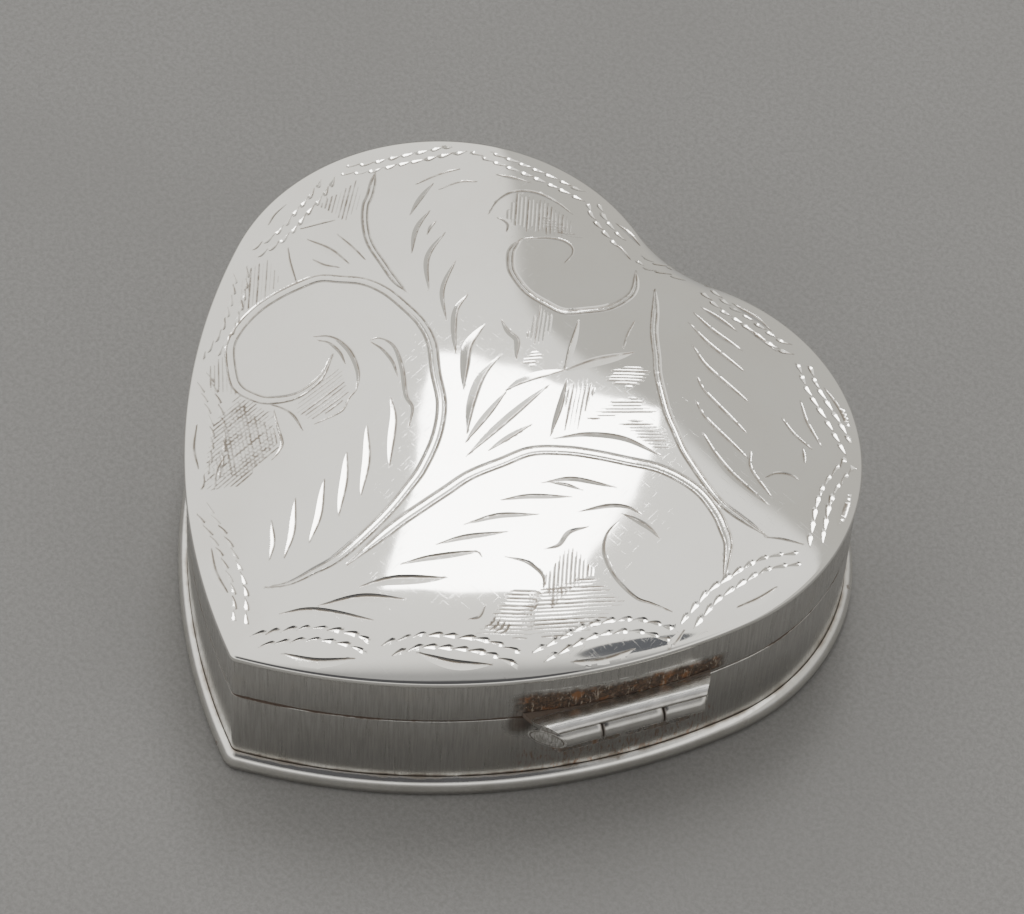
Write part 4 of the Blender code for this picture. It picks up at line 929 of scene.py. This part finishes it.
def make_lid_top(surface, under_surface):
    e = engrave()
    rim = heart(0.05)
    count = len(rim)
    seen = [Vector(p) for p in lid_points(e)]
    # The outline runs clockwise; turned round, the triangles inside it name it as their source.
    made = delaunay_2d_cdt(seen, [], [list(range(count))[::-1]], 0, 1e-6, True)
    x, y = np.array([tuple(p) for p in made[0]]).T
    faces = [tuple(f) for f, source in zip(made[2], made[5]) if len(source)]
    depth = e.sample(x, y)
    depth[SHARE(x, y) > CUT_LIMIT] = 0
    points = [np.column_stack([x, y, smooth_z(x, y) - depth])]

    # The rim folds over, and the plate's underside follows it inside.
    ring_ids = [int(np.argmin(np.hypot(x - p[0], y - p[1]))) for p in rim]
    section = ((0.13, 18.94), (0.18, 18.82), (0.2, 18.68), (0.185, 18.5), (0.13, 18.32),
               (0.05, 18.22), (-0.95, 18.22))
    loops = [np.column_stack([heart(offset), np.full(count, z)]) for offset, z in section]
    for share in (0.985, 0.93, 0.85, 0.74, 0.6, 0.45, 0.3, 0.15):
        px, py = (heart(-0.97) * share).T
        loops.append(np.column_stack([px, py, smooth_z(px, py) - LID_T]))
    last, base = ring_ids, len(x)
    for loop in loops:
        points.append(loop)
        here = range(base, base + count)
        faces += band_faces(last, here)
        last, base = here, base + count
    points.append([[0, 0, float(smooth_z(np.zeros(1), np.zeros(1))[0]) - LID_T]])
    faces += [(last[i], last[(i + 1) % count], base) for i in range(count)]
    points = np.concatenate(points)

    name = "engraved_lid_top"
    obj = to_object(name, points, faces, "lid", surface, "lid_top", smooth=None)
    mesh = obj.data
    corner = lid_normals(e, mesh, points, x, y, depth, ring_ids, rim)
    mesh.normals_split_custom_set([tuple(n) for n in corner])

    # Dirt and tarnish lie in the cuts, with painted shade on their steep flanks, and wear spreads
    # round them.
    wide = e.depth.copy()
    for _ in range(5):
        beside = wide[:-2, 1:-1] + wide[2:, 1:-1] + wide[1:-1, :-2] + wide[1:-1, 2:]
        wide[1:-1, 1:-1] = (wide[1:-1, 1:-1] * 2 + beside) / 6
    for name, seen in (("cut", e.sample(x, y, e.core)), ("worn", e.sample(x, y, wide) / 0.06)):
        values = np.zeros(len(points))
        values[: len(seen)] = np.clip(seen, 0, 1)
        mesh.attributes.new(name, "FLOAT", "POINT").data.foreach_set("value", values)

    mesh.materials.append(under_surface)
    first_under = len(x) + count * (len(section) - 1)
    below = np.array([min(p.vertices) >= first_under for p in mesh.polygons])
    mesh.polygons.foreach_set("material_index", below.astype(int))
    print("lid top:", len(mesh.polygons), "faces")


# ---------------------------------------------------------------- the case


def make_case(band, bead, inside):
    low, high = SEAM_Z - GAP, SEAM_Z + GAP
    body = rounded([(0, 0.4), (0, low), (-1, low), (-1, 0.4)], 0.16)
    heart_ring("satin_body_band", body, "case", band, "body_band")
    lid = rounded([(0, high), (0, 18.2), (-1, 18.2), (-1, high)], 0.1)
    heart_ring("satin_lid_band", lid, "lid", band, "lid_band")
    half_round = [(0.05, 0.0), (0.55, 0.0), (0.78, 0.12), (0.9, 0.4), (0.95, 0.85), (0.93, 1.2),
                  (0.86, 1.5), (0.74, 1.78), (0.58, 2.0), (0.38, 2.16), (0.05, 2.3)]
    heart_ring("foot_bead_moulding", half_round, "case", bead, "foot_bead", 60)
    stepped = rounded([(-1.25, 6.0), (-1.25, 14.3), (-1.85, 14.3), (-1.85, 13.25), (-2.6, 13.25),
                       (-2.6, 12.1), (-1.85, 11.3), (-1.85, 6.0)], 0.12, 3)
    heart_ring("stepped_inner_bezel", stepped, "case", inside, "inner_bezel")


# ---------------------------------------------------------------- the hinge


def hinge_matrix():
    """Takes the hinge's frame (s, o, z) to the box's frame."""
    out = Vector((*HINGE_OUT, 0))
    along = Vector((-out.y, out.x, 0))
    middle = Vector((*SIDE_C, 0)) + out * SIDE_R
    return Matrix.Translation(middle) @ Matrix((along, out, (0, 0, 1))).transposed().to_4x4()


HINGE_PLACE = hinge_matrix()


def wall_at(s):
    return math.sqrt((SIDE_R + GAP) ** 2 - s**2) - SIDE_R


def first_end(o):
    return HINGE_S0 + BEVEL_0 * o


def last_end(o):
    return HINGE_S1 - BEVEL_1 * o


def hinge_piece(name, points, faces, body, surface, node, smooth):
    points = [HINGE_PLACE @ Vector(p) for p in points]
    to_object(name, points, faces, body, surface, node, smooth=smooth)


def sweep(name, section, body, surface, node, shorter=(0.0, 0.0), wall=(), wear=0.0):
    """A bar along the hinge with this (o, z) section. Corners in wall lie on the curved wall."""
    points, count, stations = [], len(section), 24
    for i in range(stations + 1):
        for k, (o, z) in enumerate(section):
            start, end = first_end(o) + shorter[0], last_end(o) - shorter[1]
            s = start + (end - start) * i / stations
            worn = wear * math.sin(s * 1.7 + z) * math.sin(s * 0.9)
            points.append((s, wall_at(s), z) if k in wall else (s, o, z + worn))
    faces = ring_faces(stations + 1, count, False)
    faces += [tuple(range(count)), tuple(range(stations * count, (stations + 1) * count))]
    hinge_piece(name, points, faces, body, surface, node, 35)


def tube(name, start, end, outer, inner, body, surface, node, steps=48, round_over=0.1):
    """A tube or rod on the pin's line, its outer edges rounded. Its ends are functions of o."""
    lips = [(0.0, outer - round_over), (round_over * 0.35, outer - round_over * 0.3),
            (round_over, outer)]
    rings = [(start, inset, radius) for inset, radius in lips]
    rings += [(None, share, outer) for share in np.linspace(0.1, 0.9, 9)]
    rings += [(end, -inset, radius) for inset, radius in reversed(lips)]
    if inner:
        rings += [(end, 0.0, inner), (start, 0.0, inner)]
    points = []
    for place, inset, radius in rings:
        for turn in (2 * math.pi * k / steps for k in range(steps)):
            o, z = PIN_O + radius * math.cos(turn), PIN_Z + radius * math.sin(turn)
            if place:
                s = place(o) + inset
            else:
                first, last = start(o) + round_over, end(o) - round_over
                s = first + (last - first) * inset
            points.append((s, o, z))
    faces = ring_faces(len(rings), steps, bool(inner))
    if not inner:
        total = len(rings) * steps
        faces += [tuple(range(steps)), tuple(range(total - steps, total))]
    hinge_piece(name, points, faces, body, surface, node, 40)


def pin_arc(degrees):
    radius, turns = KNUCKLE_R + GAP, [math.radians(d) for d in degrees]
    return [(PIN_O + radius * math.cos(t), PIN_Z + radius * math.sin(t)) for t in turns]


def make_hinge(silver):
    lip = [(1.92, 12.34), (1.97, 12.4), (1.94, 12.5), (1.82, 12.64), (1.66, 12.77), (1.5, 12.87),
           (1.36, 12.93), (1.22, 12.965), (1.08, 12.985), (0.6, 13.02)]
    plate = [(0, 13.05), (0, SEAM_Z + 0.2), *pin_arc(range(118, 64, -4)), *lip]
    sweep("hinge_upper_plate", plate, "lid", silver, "hinge_lid_plate", wall=(0, 1), wear=0.02)
    foot = [(0.63, 9.4), (0.6, 9.0), (0.55, 6.5), (0.45, 6.3)]
    leaf = [(0, 6.2), (0, 10.0), *pin_arc(range(-158, -116, 5)), *foot]
    sweep("hinge_lower_leaf", leaf, "case", silver, "hinge_base_leaf", (3.0, 1.6), (0, 1))
    bore, half = PIN_R + 0.015, GAP / 2 + 0.03
    for side, start, end, body, edge in (
        ("left", first_end, lambda o: SPLIT_S0 - half, "lid", 0.05),
        ("right", lambda o: SPLIT_S1 + half, last_end, "lid", 0.1),
        ("middle", lambda o: SPLIT_S0 + half, lambda o: SPLIT_S1 - half, "case", 0.1),
    ):
        name, node = "hinge_tube_" + side, "hinge_knuckle_" + side
        tube(name, start, end, KNUCKLE_R, bore, body, silver, node, round_over=edge)
    start, end = lambda o: first_end(o) + 0.01, lambda o: last_end(o) - 0.02
    tube("riveted_hinge_pin", start, end, PIN_R, 0, "case", silver, "hinge_pin", 32, 0.03)


def make_thumb_lift(surface):
    """A half-moon tab on the lid's edge, across from the hinge, with its lip eased and hollowed."""
    away, half = HINGE_ANGLE + math.pi, math.radians(8.5)
    low, high = SEAM_Z + 0.2, SEAM_Z + 1.2
    lobe = np.array([-LOBE_X, LOBE_Y])

    def toward(turn):
        return np.array([math.cos(turn), math.sin(turn)])

    axis = toward(away)
    middle = lobe + axis * (LOBE_R - 2.2)
    gone = lobe + (LOBE_R + GAP) * toward(away - half) - middle
    reach = np.hypot(*gone)
    spread = abs(math.atan2(gone[0] * axis[1] - gone[1] * axis[0], gone @ axis))
    across, steps, reach_in, lip = 40, 14, 0.3, 0.62
    points = []
    # Round the tab's section: out along the bottom, over the rounded lip, back along the top.
    for t in (-1 + 2 * i / across for i in range(across + 1)):
        wall = lobe + (LOBE_R + GAP) * toward(away + half * t)
        edge = middle + reach * toward(away + spread * t)
        for a in (k / (steps - 1) for k in range(steps)):
            if a < reach_in:
                f, z = a / reach_in * 0.9, low
            elif a < lip:
                curl = (a - reach_in) / (lip - reach_in) * math.pi
                f = 0.9 + 0.1 * math.sin(curl)
                z = (low + high) / 2 - (high - low) / 2 * math.cos(curl)
            else:
                f = 0.9 * (1 - (a - lip) / (1 - lip))
                z = high - 0.16 * math.sin(math.pi * f / 0.9) * (1 - t * t)
            points.append((*(wall + (edge - wall) * f), z))
    faces = ring_faces(across + 1, steps, False)
    to_object("curled_thumb_lift", points, faces, "lid", surface, "thumb_lift", smooth=50)


# ---------------------------------------------------------------- the works

# Each metal's light and dark colour.
BRASS = (0.86, 0.65, 0.31), (0.66, 0.45, 0.18)
TURNED_BRASS = (0.88, 0.67, 0.32), (0.68, 0.47, 0.19)
CUT_BRASS = (0.88, 0.69, 0.36), (0.64, 0.45, 0.2)
NICKEL = (0.80, 0.78, 0.73), (0.58, 0.56, 0.51)
STEEL = (0.66, 0.66, 0.65), (0.44, 0.44, 0.44)
COMB_STEEL = (0.60, 0.60, 0.60), (0.38, 0.39, 0.41)
BLUED = (0.075, 0.10, 0.24), (0.05, 0.06, 0.13)
DARK_STEEL = (0.20, 0.21, 0.24), (0.12, 0.12, 0.14)


def finish_works(inside):
    """Every other piece keeps its modelled shape and is given a worked surface."""
    drum = (-15.5, 9.0)
    steel_spots, comb_spots = (0.24, 0.17, 0.12), (0.20, 0.16, 0.13)
    for surface, nodes in (
        (metal("rolled_brass", *BRASS, 0.2, (0.5, 8.0, 1.0)),
         "bedplate comb_heel cylinder_bracket governor_frame governor_bracket worm_cock"),
        (metal("turned_brass", *TURNED_BRASS, 0.18, spin=drum),
         "spring_barrel barrel_cap crown_wheel"),
        (metal("cut_brass", *CUT_BRASS, 0.24, (1.0, 5.0, 5.0), 0.4),
         "pin_cylinder cylinder_pinion train_wheel worm_wheel governor_pinion governor_fan"),
        (metal("nickelled_bridge", *NICKEL, 0.22, (1.2, 6.0, 1.0)),
         "barrel_bridge bridge_pillar_1 bridge_pillar_2"),
        (metal("ground_steel", *STEEL, 0.24, (8.0, 0.6, 3.0), 0.35, steel_spots),
         "winding_arbor ratchet_wheel ratchet_click cylinder_arbor governor_arbor worm stop_rod"
         " stop_finger winding_key"),
        (metal("hardened_comb_steel", *COMB_STEEL, 0.22, (0.8, 9.0, 2.0), 0.3, comb_spots), "comb"),
        (metal("blued_steel", *BLUED, 0.22, (4.0, 4.0, 1.0)),
         "bridge_screw_1 bridge_screw_2 click_screw comb_screw_1 comb_screw_2 movement_screw_1"
         " movement_screw_2 movement_screw_3"),
        (metal("dark_spring_steel", *DARK_STEEL, 0.28, (3.0, 3.0, 0.6)),
         "mainspring click_spring stop_spring"),
        (inside, "base_plate"),
        (clear_cover(), "dust_cover"),
    ):
        for node in nodes.split():
            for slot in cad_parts[node].material_slots:
                slot.material = surface


# ---------------------------------------------------------------- camera and light


def square_to(back, level, roll):
    """The two directions across the view when looking along -back, rolled from the level."""
    upward = back.cross(level)
    right = math.cos(roll) * level + math.sin(roll) * upward
    return right, -math.sin(roll) * level + math.cos(roll) * upward


def make_camera():
    turn, rise, roll, distance = 0.6566, 0.953, 0.0773, 0.52
    aim_right, aim_above, lens = -0.00355, 0.00713, 178.04
    flat = math.cos(rise)
    back = Vector((math.sin(turn) * flat, -math.cos(turn) * flat, math.sin(rise)))
    right, above = square_to(back, Vector((math.cos(turn), math.sin(turn), 0)), roll)
    # A long lens, aimed a little to the left of the middle of the lobes, and above it.
    z = -(aim_right * right + aim_above * above - back).normalized()
    x = (right - right.dot(z) * z).normalized()
    camera = bpy.data.objects.new("camera", bpy.data.cameras.new("camera"))
    camera.data.sensor_width = 36
    camera.data.lens = lens
    camera.data.clip_start, camera.data.clip_end = 0.01, 20
    place = Matrix.Translation(Vector((0, LOBE_Y * MM, 0)) + back * distance)
    camera.matrix_world = place @ Matrix((x, z.cross(x), z)).transposed().to_4x4()
    bpy.context.collection.objects.link(camera)
    bpy.context.scene.camera = camera


def softbox(name, azimuth, elevation, far, wide, high, bright):
    """A soft rectangular light: azimuth in degrees from +X towards +Y, and how bright it looks."""
    a, e = math.radians(azimuth), math.radians(elevation)
    way = Vector((math.cos(a) * math.cos(e), math.sin(a) * math.cos(e), math.sin(e)))
    light = bpy.data.lights.new(name, "AREA")
    light.shape, light.size, light.size_y = "RECTANGLE", wide, high
    light.energy, light.color = bright * math.pi * wide * high, (1, 0.99, 0.97)
    obj = bpy.data.objects.new(name, light)
    facing = way.to_track_quat("Z", "Y").to_matrix().to_4x4()
    obj.matrix_world = Matrix.Translation(way * far) @ facing
    bpy.context.collection.objects.link(obj)


def make_light():
    world = bpy.data.worlds.new("studio")
    bpy.context.scene.world = world
    world.use_nodes = True
    n = Nodes(world.node_tree)
    shade = n.tree.nodes["Background"]
    way = n.node("ShaderNodeTexCoord").outputs["Generated"]

    def beyond(direction, edge, soft):
        """1 where the sky's direction lies well along this one."""
        return n.remap(n.vector("DOT_PRODUCT", way, direction), edge - soft, edge + soft)

    # A light tent, whose back wall glows softly round the soft box.
    dim, front = (0.42, 0.415, 0.41), (0.3535, -0.4588, 0.8152)
    glow = beyond((-0.2464, 0.3868, 0.8886), 0.93, 0.055)
    tent = n.mix(glow, (1.225, 1.2, 1.14), (1.33, 1.31, 1.25))
    # The right of the back wall hangs in shade, and the hem is dim.
    right = beyond((0.821, 0.571, 0.0), 0.0, 0.012)
    back = beyond((0.212, 0.813, -0.542), 0.0, 0.012)
    tent = n.layer(tent, (0.625, 0.61, 0.57), right, back)
    tent = n.layer(tent, dim, beyond((0, 0, -1), -0.16, 0.16))
    # A dark stand above the hinge's side, and the open front that the lens looks through.
    tent = n.layer(tent, (0.13, 0.135, 0.15), beyond((0.2039, 0.1593, 0.9659), 0.9978, 0.0002))
    tent = n.layer(tent, dim, beyond(front, 0.84, 0.05))
    tent = n.layer(tent, (0.09, 0.09, 0.095), beyond(front, 0.93, 0.012))
    n.feed((shade.inputs["Color"], shade.inputs["Strength"]), (tent, 1.0))
    # High at the back: its own image is the burned-out glare on the lid.
    softbox("back_softbox", 122.5, 62.7, 0.9, 0.19, 0.385, 9.0)


def main():
    make_camera()
    make_floor()
    make_light()
    inside = inside_silver()
    finish_works(inside)
    make_case(brushed_silver(), bead_silver(), inside)
    make_lid_top(polished_silver("engraved_polished_silver", True), inside)
    make_hinge(hinge_silver())
    make_thumb_lift(polished_silver())


main()
